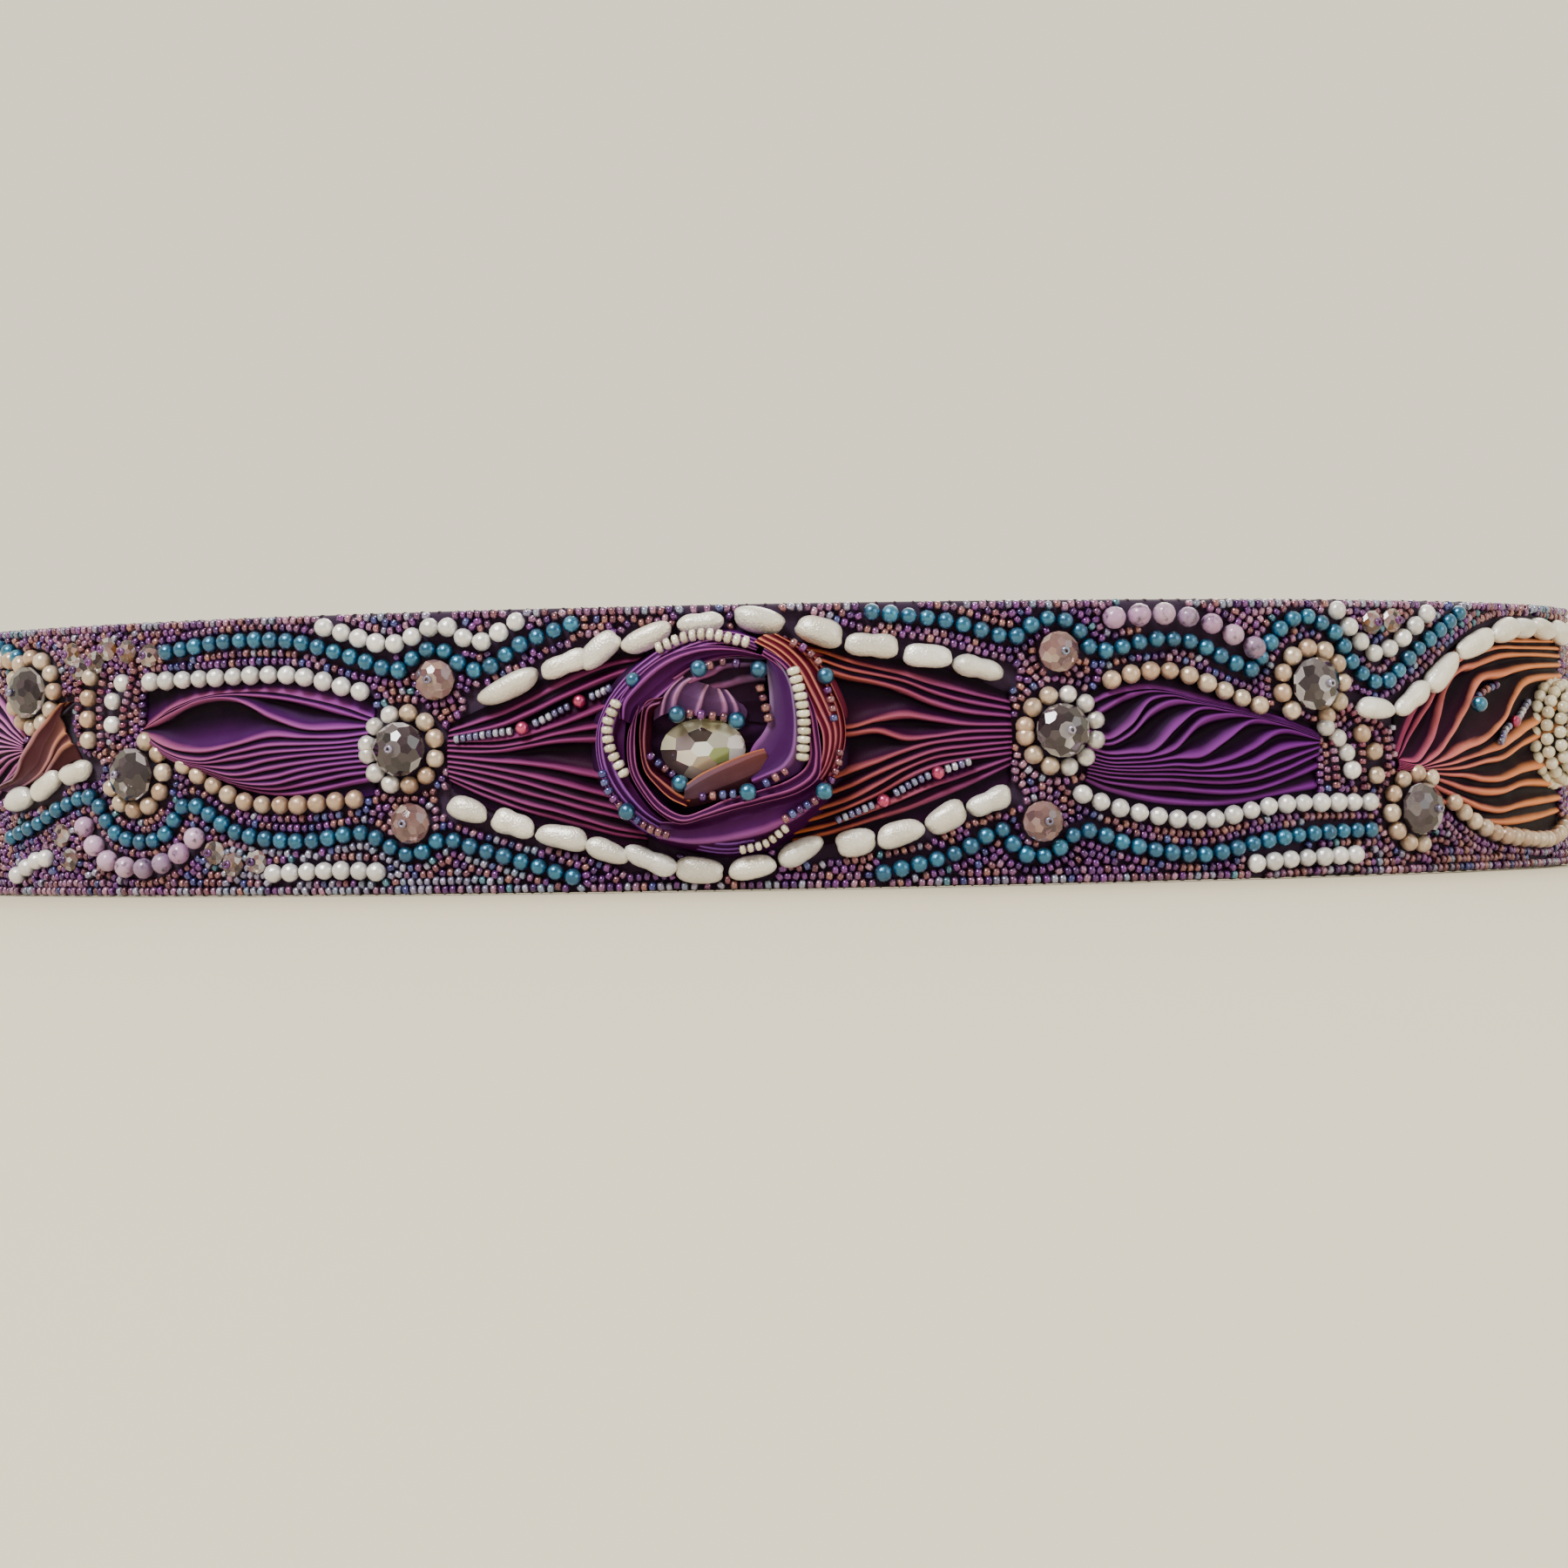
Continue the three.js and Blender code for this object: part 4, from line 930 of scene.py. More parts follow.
def finish_bump(tree, shader, height, strength, distance):
    """Links a height to the shader's normal."""
    bump = add(tree, "Bump", {"Height": height, "Strength": strength, "Distance": distance})
    tree.links.new(bump.outputs[0], shader.inputs["Normal"])


def place_group(tree, group, inputs):
    """A node group placed in a material with its own values."""
    return add(tree, "Group", inputs, node_tree=group)


def bead_material(name, cloud, amount, scale, bump, least=0.4, **shine):
    """Beads whose tint is painted on each, with clouding and a coat."""
    made, tree, shader = material(name, **shine)
    tint = add(tree, "VertexColor", layer_name="tint")
    place = add(tree, "TexCoord").outputs["Object"]
    skin = place_group(tree, SKIN, {
        "Tint": tint.outputs["Color"], "Place": place, "Cloud": linear(cloud),
        "Amount": amount, "Least": least, "Scale": scale})
    tree.links.new(skin.outputs["Color"], shader.inputs["Base Color"])
    finish_bump(tree, shader, skin.outputs["Height"], bump, 0.0004)
    return made


def silk_material(name, lit_dyes, shade=0x0C0112):
    """Silk with a dye for the crests, lightened as a painted highlight, and one for the cloth between
    them at each end, and a painted shade for the depth of the creases."""
    made, tree, shader = material(name, Roughness=0.45)
    shader.inputs["Specular IOR Level"].default_value = 0.07
    fold = add(tree, "VertexColor", layer_name="fold")
    uv = add(tree, "UVMap", uv_map="cloth")
    crest_start, crest_end, cloth_start, cloth_end = lit_dyes
    dye_and_shade = place_group(tree, DYE_AND_SHADE, {
        "Fold": fold.outputs["Color"], "Place": uv.outputs[0],
        "Lit crest start": linear(crest_start), "Lit crest end": linear(crest_end),
        "Cloth start": linear(cloth_start), "Cloth end": linear(cloth_end),
        "Shade": linear(shade)})
    tree.links.new(dye_and_shade.outputs["Color"], shader.inputs["Base Color"])
    finish_bump(tree, shader, dye_and_shade.outputs["Height"], 0.35, 0.0002)
    return made


def cloth_material(name, colour, fleck, threads, bump, roughness=0.85):
    """Plain woven or felted cloth with flecks."""
    made, tree, shader = material(name, Roughness=roughness, Sheen_Weight=0.3)
    uv = add(tree, "UVMap", uv_map="cloth")
    weave = place_group(tree, WEAVE, {"Place": uv.outputs[0], "Threads": threads, "Slub": 0.5})
    fibre = add(tree, "TexNoise", {"Vector": uv.outputs[0], "Scale": 900.0, "Detail": 5.0})
    share = sums(tree, "MULTIPLY", sums(tree, "ADD", weave.outputs["Mask"], 0.2),
                 fibre.outputs["Fac"])
    colours = blend_colours(tree, share, linear(colour), linear(fleck))
    tree.links.new(colours, shader.inputs["Base Color"])
    finish_bump(tree, shader, weave.outputs["Height"], bump, 0.0003)
    return made


def metal_material():
    """Brushed steel: fine lines across the plate."""
    made, tree, shader = material("hook_metal", Metallic=1.0, Roughness=0.35)
    place = add(tree, "TexCoord").outputs["Object"]
    grain = add(tree, "Mapping", {"Vector": place, "Scale": (400.0, 400.0, 6000.0)})
    noise = add(tree, "TexNoise", {"Vector": grain.outputs[0], "Scale": 1.0, "Detail": 3.0})
    colours = blend_colours(tree, noise.outputs["Fac"], linear(0x7C7C80), linear(0xA6A6AA))
    tree.links.new(colours, shader.inputs["Base Color"])
    finish_bump(tree, shader, noise.outputs["Fac"], 0.2, 0.0001)
    return made


def plain_material(name, colour, spot, scale, roughness):
    """A pale studio surface with a trace of unevenness."""
    made, tree, shader = material(name, Roughness=roughness)
    place = add(tree, "TexCoord").outputs["Object"]
    noise = add(tree, "TexNoise", {"Vector": place, "Scale": scale, "Detail": 3.0})
    colours = blend_colours(tree, noise.outputs["Fac"], linear(colour), linear(spot))
    tree.links.new(colours, shader.inputs["Base Color"])
    return made


SHELLS = {
    "teal": bead_material("teal_pearls", 0x0E3660, 0.45, 700, 0.2, Metallic=0.8, Roughness=0.3,
                          Coat_Weight=1.0, Coat_Roughness=0.2),
    "white": bead_material("white_pearls", 0xB0ACB4, 0.3, 600, 0.25, Metallic=0.4,
                           Roughness=0.3, Coat_Weight=1.0, Coat_Roughness=0.2),
    "cream": bead_material("champagne_pearls", 0x8E6A50, 0.45, 600, 0.25, Metallic=0.5,
                           Roughness=0.3, Coat_Weight=1.0, Coat_Roughness=0.2),
    "mauve": bead_material("mauve_stones", 0x3C2C48, 0.9, 620, 0.2, least=0.54, Roughness=0.26,
                           Coat_Weight=0.8, Coat_Roughness=0.1),
    "rice": bead_material("rice_pearls", 0xC0B8A8, 0.4, 320, 0.5, Metallic=0.3, Roughness=0.3,
                          Coat_Weight=1.0, Coat_Roughness=0.2),
    "seed": bead_material("seed_beads", 0x24102E, 0.35, 900, 0.1, Metallic=0.5, Roughness=0.18,
                          Coat_Weight=0.8, Coat_Roughness=0.08),
    "ivory": bead_material("ivory_beads", 0xB8A890, 0.35, 900, 0.2, Metallic=0.2, Roughness=0.22,
                           Coat_Weight=0.7, Coat_Roughness=0.1),
    "crystal": bead_material("cut_crystals", 0x4A3A48, 0.25, 500, 0.0, Transmission_Weight=0.5,
                             IOR=1.58, Roughness=0.03, Coat_Weight=0.6, Coat_Roughness=0.02),
    "stone": bead_material("foiled_stone", 0x6A6458, 0.15, 260, 0.0, Metallic=0.3,
                           Roughness=0.08, Coat_Weight=1.0, Coat_Roughness=0.02),
    "thread": bead_material("sewing_thread", 0x1E1020, 0.4, 1200, 0.3, Roughness=0.7),
}
BAND_CLOTH = cloth_material("felted_backing", 0x22082A, 0x3C1648, 1400.0, 0.3, 0.92)
LINING_CLOTH = cloth_material("plain_lining", 0x5C4054, 0x8A6C80, 1900.0, 0.3, 0.6)
STRAP_CLOTH = cloth_material("strap_cloth", 0x2E1628, 0x5A3A50, 1100.0, 0.5, 0.85)

TINTS = {
    "teal": [0x2E7AA2, 0x2A7098, 0x3484AC, 0x2C6C92],
    "white": [0xF4F2F2, 0xECEAEA, 0xF8F6F6, 0xE4E2E2],
    "cream": [0xD8C0A8, 0xD0B49C, 0xE0CCB6, 0xC8A890],
    "mauve": [0xBC94BA, 0xB088B0, 0xC6A2C2, 0x987CA0],
    "rice": [0xF8F4EA, 0xF2ECE0, 0xFAF8F2, 0xF0EADE],
    "ivory": [0xE8E0C8, 0xDCD2B8, 0xEEE8D4],
    "silver": [0xB0B0CC, 0x8C90B8, 0xC8C8DC, 0x706C9C],
    "pink": [0xD4487C, 0xC83C70],
    "maroon": [0x6E2C50, 0x7C3858, 0x5E2450, 0x8A4A62],
    # Crystal facets: smoke and rosy tints, light and dark, that paint glints and reflections; the
    # _deep ones paint the dark backing seen through the glass
    "smoke": [0x8A8084, 0xC8C0C4, 0x463A42, 0x665A62, 0xF0ECEC, 0x30242E],
    "smoke_deep": [0x2A1A28, 0x3A2634, 0x1E1220, 0x4A3644],
    "rosy": [0xC8A094, 0xA07878, 0xDCC0B0, 0x8A6468, 0xB49090],
    "rosy_deep": [0x845A60, 0x6C4852, 0x987070],
    "thread": [0x3A2436, 0x462C42],
    "lining_thread": [0xA08A98, 0x907A88],
    "strap_thread": [0x6A4A60, 0x5C3E54],
}
SEED_TINTS = {
    "plum": [0x643078, 0x743884, 0x52286C, 0x804490],
    "copper": [0x96626A, 0x845060, 0xA67270, 0x744456],
    "rose": [0x9C6C92, 0x8A5886, 0xB2829E, 0x784C76],
    "blue": [0x484A90, 0x5A62A0, 0x3C3C78],
    "lilac": [0x9C94B4, 0xACA8C4, 0x8680A0, 0x8A94B0],
    "teal": [0x4A7C94, 0x5A8CA0],
}
# How often each of those colours comes in a row that leans to one of them
SEED_SHARES = {
    "plum": (60, 18, 10, 9, 2, 1),
    "copper": (18, 62, 10, 4, 4, 2),
    "rose": (26, 16, 50, 3, 4, 1),
    "edge": (16, 12, 44, 4, 22, 2),
    "lilac": (12, 8, 10, 6, 60, 4),
}


def pick(names, count, seed):
    """Tints drawn for count beads from a list of colour codes, each a little lighter or darker."""
    rng = np.random.default_rng(seed)
    table = np.array([linear(code)[:3] for code in names])
    chosen = table[rng.integers(0, len(table), count)]
    return chosen * rng.uniform(0.86, 1.12, (count, 1))


# Rows of pearls

BEAD_SHAPE = ball(6, 12)
SMALL_SHAPE = ball(5, 10)
RICE_SHAPE = lathe([(math.copysign(abs(math.cos(a)) ** 0.82, math.cos(a)), math.sin(a) ** 0.8)
                    for a in np.linspace(0, math.pi, 13)[1:-1]], 16)
SEED_SHAPE = drum(8)


def keep(piece, slot, *nodes):
    """The piece rides on the sash and stands for CAD nodes, which are hidden. slot is not used."""
    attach(piece, "root")
    if nodes:
        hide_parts(*nodes)
    return piece


SLOTS = {"teal": "pearl_teal", "white": "pearl_white", "cream": "pearl_cream",
         "mauve": "stone_mauve", "rice": "pearl_rice"}


def pearl_row(name, kind, path, node, seed, white_side=()):
    """Pearls at equal distances along a spline, lying on the backing. Where white_side gives two
    u places, the pearls between them are white."""
    wide, pitch = PEARLS[kind]
    run = length_of(spline(path))[-1]
    rng = np.random.default_rng(seed)
    knobs = None
    if kind == "rice":
        count = max(2, round(run / pitch))
        spots, sizes, way, knobs = rice_lie(path, count, rng)
    else:
        count = max(2, round(run / pitch) + 1)
        spots = walk(path, count)
        sizes = np.repeat(wide / 2 * rng.uniform(0.95, 1.04, (count, 1)), 3, axis=1)
        way = ways(spots)
    trail = walk(path, max(2, int(run / 0.5)))
    TAKEN.extend([[u, v, wide / 2 * 0.96] for u, v in trail])
    places = np.column_stack([spots, sizes[:, 2] + 0.05])
    tints = pick(TINTS[kind], count, seed + 40)
    if white_side:
        mask = (spots[:, 0] > white_side[0]) & (spots[:, 0] < white_side[1])
        tints[mask] = pick(TINTS["white"], int(mask.sum()), seed + 41)
    piece = strew(name, RICE_SHAPE if kind == "rice" else BEAD_SHAPE, places, sizes, way,
                  SHELLS[kind], tints, wobble=0.05 if kind == "rice" else 0.014, seed=seed,
                  knobs=knobs)
    return keep(piece, SLOTS[kind], node)


def lumps(count, rng):
    """How much fatter each rice pearl is towards one end, and how deep its waist is."""
    return np.stack([rng.uniform(-0.14, 0.14, count), rng.choice([0, 0.05, 0.2], count)], -1)


def rice_lie(path, count, rng):
    """Places, sizes, directions and lumps of uneven rice pearls threaded end to end."""
    share = np.concatenate([[0], np.cumsum(rng.uniform(0.85, 1.15, count))])
    share /= share[-1]
    line = spline(path)
    run = length_of(line)
    at = np.stack([np.interp(share * run[-1], run, column) for column in line.T], -1)
    way = np.diff(at, axis=0)
    long = np.linalg.norm(way, axis=1)
    way /= long[:, None]
    skew = rng.uniform(-0.13, 0.13, count)
    way = np.stack([way[:, 0] - skew * way[:, 1], way[:, 1] + skew * way[:, 0]], -1)
    fat = rng.uniform(3.9, 4.7, count)
    sizes = np.stack([long * rng.uniform(0.93, 1.0, count), fat,
                      fat * rng.uniform(0.84, 0.96, count)], -1) / 2
    return (at[:-1] + at[1:]) / 2, sizes, way, lumps(count, rng)


def rice_by_rosette():
    """Rice pearls that lie half under the rosette's upper and lower edge."""
    spots = np.array(RICE_TUCKED)
    rng = np.random.default_rng(8)
    count = len(spots)
    way = np.column_stack([-(spots[:, 1] - ROSETTE_CENTRE[1]) / ROSETTE_TALL,
                           (spots[:, 0] - ROSETTE_CENTRE[0]) / ROSETTE_WIDE * 0.8])
    way /= np.linalg.norm(way, axis=1, keepdims=True)
    sizes = np.stack([rng.uniform(7.4, 8.8, count), rng.uniform(4, 4.6, count),
                      rng.uniform(3.6, 4.2, count)], -1) / 2
    knobs = lumps(count, rng)
    places = np.column_stack([spots, sizes[:, 2] + 0.05])
    keep(strew("rice_by_rosette", RICE_SHAPE, places, sizes, way, SHELLS["rice"],
               pick(TINTS["rice"], count, 81), wobble=0.05, seed=82, knobs=knobs), "pearl_rice")
    TAKEN.extend([[u + dx, v, 2.0] for u, v in spots for dx in (-2.2, 0, 2.2)])


for number, (row, path) in enumerate(ROWS.items()):
    pearl_row("pearls_" + row, row.split("_")[0], path, row, 10 + number)


# Crystals

def cut_gem(facets):
    """The convex body inside flat facets [normal x, y, z, distance]. Each three facets may meet in
    a corner, which counts if no other facet cuts it off. Gives points, triangles, and the facet
    that each triangle lies in."""
    facets = np.asarray(facets, float)
    normal, reach = facets[:, :3], facets[:, 3]
    triple = np.array(list(itertools.combinations(range(len(facets)), 3)))
    solid = np.abs(np.linalg.det(normal[triple])) > 1e-6
    triple = triple[solid]
    corner = np.linalg.solve(normal[triple], reach[triple][..., None])[..., 0]
    inside = (corner @ normal.T <= reach + 1e-6).all(1)
    corner = np.unique(corner[inside].round(5), axis=0)
    faces, owner = [], []
    for number, (n, d) in enumerate(zip(normal, reach)):
        mine = np.flatnonzero(np.abs(corner @ n - d) < 1e-3 * np.linalg.norm(n))
        if len(mine) < 3:
            continue
        side = np.cross(n, [0.31, 0.52, 0.79])
        other = np.cross(n, side)
        spread = corner[mine] - corner[mine].mean(0)
        mine = mine[np.argsort(np.arctan2(spread @ other, spread @ side))]
        for a, b in zip(mine[1:-1], mine[2:]):
            faces.append([mine[0], a, b])
            owner.append(number)
    return corner, facing_out(corner, np.array(faces)), np.array(owner)


def facet_ring(count, shift, radius, height, slope):
    """Facets round the x axis, each through a point at radius and height, leaning by slope
    degrees from straight out."""
    turn = (np.arange(count) + shift) / count * 2 * math.pi
    lean = math.radians(slope)
    normal = np.stack([np.full(count, math.sin(lean)), math.cos(lean) * np.cos(turn),
                       math.cos(lean) * np.sin(turn)], -1)
    reach = radius * math.cos(lean) + height * math.sin(lean)
    return np.column_stack([normal, np.full(count, reach)])


def rondelle(wide, sides):
    """A cut bead, hole up: two rings of facets above the girdle and two below."""
    tall = 0.6 * wide
    flat = np.array([[1, 0, 0, tall * 0.97], [-1, 0, 0, -0.02]])
    return cut_gem(np.vstack([
        flat, facet_ring(sides, 0, 0.23 * wide, tall * 0.92, 68),
        facet_ring(sides, 0.5, 0.36 * wide, tall * 0.8, 50),
        facet_ring(sides, 0, 0.45 * wide, tall * 0.65, 30),
        facet_ring(2 * sides, 0.5, 0.5 * wide, tall * 0.5, 0),
        facet_ring(sides, 0.5, 0.45 * wide, tall * 0.3, -36),
        facet_ring(sides, 0, 0.3 * wide, tall * 0.1, -62)]))


def crystal(name, at, wide, kind, first, last, seed):
    """A cut rondelle sewn hole up, held by a seed bead, with pearls round a large one."""
    large = wide > 7
    wide = wide * CUT_SWELL
    tall = 0.6 * wide
    sides = 9 if large else 8
    points, faces, owner = rondelle(wide, sides)
    # Painted reflections: smoke or rosy tints, lighter and darker at random on each facet, stand for
    # the glints of cut glass; the two flat ends and the two upper rings are mostly painted dark, as
    # the dark backing seen through the glass
    dark, pale = ("smoke_deep", "smoke") if large else ("rosy_deep", "rosy")
    count = owner.max() + 1
    tints = pick(TINTS[pale], count, seed)
    deep = (np.arange(count) < 2 + 2 * sides) & (np.random.default_rng(seed).random(count) < 0.6)
    tints[deep] = pick(TINTS[dark], int(deep.sum()), seed + 1)
    piece = strew("cut_" + name, (points, faces), [(*at, CUT_LIFT)], (1, 1, 1), (1, 0),
                  SHELLS["crystal"], tints[owner], upright=True, smooth=False)
    keep(piece, "crystal_smoke" if large else "crystal_rosy", "crystal_" + name)
    TAKEN.append([*at, wide / 2])
    stop = strew("stopper_" + name, SEED_SHAPE, [(*at, tall + CUT_LIFT + 0.25)], (SEED,) * 3,
                 (1, 0), SHELLS["seed"], pick(SEED_TINTS["lilac"], 1, seed), upright=True)
    keep(stop, "crystal_smoke")
    if not kind:
        return
    turn = np.radians(np.linspace(first, last, 11))
    path = np.stack([at[0] + RING_RADIUS * np.cos(turn), at[1] + RING_RADIUS * np.sin(turn)], -1)
    pearl_row("pearls_ring_" + name, kind, path, "ring_" + name, seed + 70,
              RING_TINTS.get(name, ()))


for number, (label, facts) in enumerate(CRYSTALS.items()):
    crystal(label, *facts, seed=200 + number)


# Silk


def pleat(lines, heights, depth, body, ripple, plain=()):
    """A pleated surface. Past a crest the cloth drops steeply, then climbs slowly to the next one:
    h = mix of the lines' heights - depth x (1 - hump), where hump is the larger of
    exp(-(distance past / steep) ^ 2) and exp(-(distance before / slow) ^ 1.5). The lit part of a
    crest ends sharply past it and fades out before it. Where crests lie close together, the depth
    and the widths shrink with their distance. Plain lines bend the cloth but have no crest."""
    count = len(lines)
    stations = len(lines[0])
    s = np.linspace(0, 1, stations)
    f = (1 - np.cos(math.pi * np.linspace(0, 1, 11))) / 2
    stops = sorted({0, count - 1} | (set(range(count)) - set(plain)))
    order = np.interp(np.arange(count), stops, np.arange(len(stops)))
    grid, looks = [], []
    for k in range(count - 1):
        level = np.linalg.norm(lines[k + 1] - lines[k], axis=1)[:, None]
        apart = np.hypot(level, (heights[k + 1] - heights[k])[:, None])
        deep = np.minimum(depth, 0.6 * level)
        uneven = (1 + 0.3 * np.sin(11 * s + 2.3 * k))[:, None]
        lit = np.minimum(body * uneven * (0.8 + 0.15 * np.minimum(apart, 4)), 0.27 * apart) + 1e-4
        here = f[:-1] if k < count - 2 else f
        past, before = here * apart, (1 - here) * apart
        slow = np.minimum(2.4 * body, 0.5 * apart) + 1e-4
        drop = np.exp(-((past / lit) ** 2)) if k not in plain else 1 - here
        climb = np.exp(-((before / slow) ** 1.5)) if k + 1 not in plain else here
        rise = heights[k][:, None] * (1 - here) + heights[k + 1][:, None] * here
        rise = rise - deep * (1 - np.maximum(drop, climb))
        flat = lines[k][:, None] * (1 - here)[None, :, None]
        flat = flat + lines[k + 1][:, None] * here[None, :, None]
        grid.append(np.concatenate([flat, rise[..., None]], -1))
        # Painted highlight: the share of the lit crest colour, ending sharply past a crest and fading
        # out before it
        crest = np.maximum((k not in plain) * np.exp(-((past / lit / 0.7) ** 3)),
                           (k + 1 not in plain) * np.exp(-((before / lit / 1.15) ** 2)))
        # Painted shade: the cloth is darkest just past a crest and lightens, as if lit, towards the
        # next one, across any plain lines between
        way = order[k] % 1 + (order[k + 1] - order[k]) * here
        way = np.clip((way - 0.3) / 0.7, 0, 1)
        painted_light_share = way * way * (3 - 2 * way)
        # Next to a tuck at the lower edge the painted shade stays darker
        if order[k] >= len(stops) - 2 and count - 1 in plain:
            painted_light_share = painted_light_share * 0.4
        looks.append(np.stack([crest, s[:, None] + 0 * crest, painted_light_share + 0 * crest], -1))
    grid = np.concatenate(grid, axis=1)
    u, v = grid[..., 0], grid[..., 1]
    grid[..., 2] += ripple * np.sin(0.9 * u + 0.35 * v) * np.sin(0.6 * v - 0.2 * u + 1)
    return grid, np.concatenate(looks, axis=1)


def silk_panel(name):
    """A pleated panel, gathered at the crystals and puffed up in the middle."""
    us, table = CRESTS[name]
    upper, lower = TUCKS[name]
    puff, slot, *lit_dyes = PANEL_LOOK[name]
    lines = [spline(np.column_stack([us, vs]), 9) for vs in (upper, *table, lower)]
    stations = len(lines[0])
    s = np.linspace(0, 1, stations)
    swell = puff * np.sqrt(np.sin(math.pi * (0.1 + 0.8 * s)))
    count = len(table)
    heights = [np.full(stations, TUCK_HEIGHT)]
    for k in range(count):
        t = k / (count - 1)
        flutter = 0.22 * np.sin(9 * s + 2.4 * k) * np.sin(math.pi * s)
        heights.append(1.1 + swell * (4 * t * (1 - t)) ** 0.7 + flutter)
    heights.append(np.full(stations, TUCK_HEIGHT))
    grid, fold = pleat(lines, heights, PLEAT_DEPTH, BODY.get(name, 0.45), 0.1, (0, count + 1))
    grid[..., 2] = np.maximum(grid[..., 2], SILK_FLOOR)
    cloth = silk_material("dye_and_shade_" + name, lit_dyes)
    piece, cut = thin_cloth("pleats_" + name, grid, SILK_WALL, cloth, fold)
    keep(piece, slot, "silk_" + name)
    SILK_TOPS.append(grid.reshape(-1, 3))
    SILK_EDGES.append((lines[-1], lines[0]))


def skirted(lines, heights, low):
    """Adds an edge that drops straight down behind the first and last crest."""
    return [lines[0], *lines, lines[-1]], [np.full_like(heights[0], low[0]), *heights,
                                           np.full_like(heights[0], low[1])]


def silk_fold(name):
    """One wrap of the rosette, or the knot, pleated along its own creases."""
    paths, rises, plain, slot, lit_dyes = FOLDS[name]
    stations = 90 if len(paths[0]) > 9 else 56
    lines = [walk(path, stations) for path in paths]
    s = np.linspace(0, 1, stations)
    heights = [np.interp(s, [0, 0.5, 1], rise) for rise in rises]
    floor = 0.7 if name == "knot" else 3.6
    low = [0.7 if rise[1] < 2 else max(floor, rise[1] - 3.5) for rise in (rises[0], rises[-1])]
    lines, heights = skirted(lines, heights, low)
    plain = {0, len(lines) - 1} | {k + 1 for k in plain}
    grid, fold = pleat(lines, heights, FOLD_DEPTH[name], FOLD_BODY.get(name, 0.4), 0.12, plain)
    cloth = silk_material("dye_and_shade_fold_" + name, lit_dyes, FOLD_SHADE.get(name, 0x36063A))
    piece, cut = thin_cloth("folds_" + name, grid, SILK_WALL, cloth, fold)
    keep(piece, slot, *([FOLD_NODE[name]] if name in FOLD_NODE else []))
    SILK_TOPS.append(grid.reshape(-1, 3))
    if name == "knot":
        TAKEN.extend([[u, v, 1.4] for line in lines for u, v in line[::4]])


def rosette_bed():
    """The round of silk that the wraps are sewn to: a low dome with creases that run outwards, and
    painted shade in the hollows between them.
    """
    share = np.linspace(0.16, 0.97, 22)[:, None]
    turn = np.linspace(0, 2 * math.pi, 97)[None, :]
    u = ROSETTE_CENTRE[0] + ROSETTE_WIDE * share * np.cos(turn)
    v = ROSETTE_CENTRE[1] + ROSETTE_TALL * share * np.sin(turn)
    h = 0.7 + 3.4 * np.sqrt(1 - share**2) + 0.25 * np.sin(14 * turn + 5 * share) * share
    grid = np.stack([u, v, h + 0 * u], -1)
    # Painted shade: the cloth darkens in the hollows of the same wave that raises the creases
    ridge = np.broadcast_to(0.5 + 0.5 * np.sin(14 * turn + 5 * share), u.shape)
    fold = np.stack([0 * u, share + 0 * u, 0.3 + 0.7 * ridge], -1)
    cloth = silk_material("dye_and_shade_rosette_bed", (0x4A1C50, 0x4A1C50, 0x2C0E34, 0x2C0E34))
    piece, _ = thin_cloth("rosette_bed", grid, 0.4, cloth, fold)
    keep(piece, "silk_plum")


# The oval stone


def stone():
    """A chessboard-cut oval: facets that touch the dome h = top - rise (r / half)^2, a table in
    the middle with rings of six and twelve round it, and a plain back."""
    top, rise, half = 7.1, 2.7, 7
    facets = [[1, 0, 0, top]]
    for count, shift, share in ((6, 0.58, 0.47), (12, 0.5, 0.86)):
        lean = math.degrees(math.atan2(half, 2 * rise * share))
        facets.extend(facet_ring(count, shift, share * half, top - rise * share**2, lean))
    facets.extend(facet_ring(24, 0.5, half, 4.3, 0))
    facets.extend(facet_ring(12, 0, half, 4.2, -42))
    facets.append([-1, 0, 0, -0.3])
    points, faces, owner = cut_gem(facets)
    points = points * [1, 1, STONE_SQUEEZE]
    # Painted reflections: the listed facets take their own light and dark tints, the rest a dull one
    table = np.array([linear(code)[:3] for code in STONE_TINTS])
    rest = pick([0x7A6C68, 0x5A4C4C], owner.max() + 1 - len(table), 77)
    tints = np.vstack([table, rest])[owner]
    piece = strew("chessboard_stone", (points, faces), [(*STONE_CENTRE, 0)], (1, 1, 1), (1, 0),
                  SHELLS["stone"], tints, upright=True, smooth=False)
    keep(piece, "stone_oval", "stone_centre")


# Backing


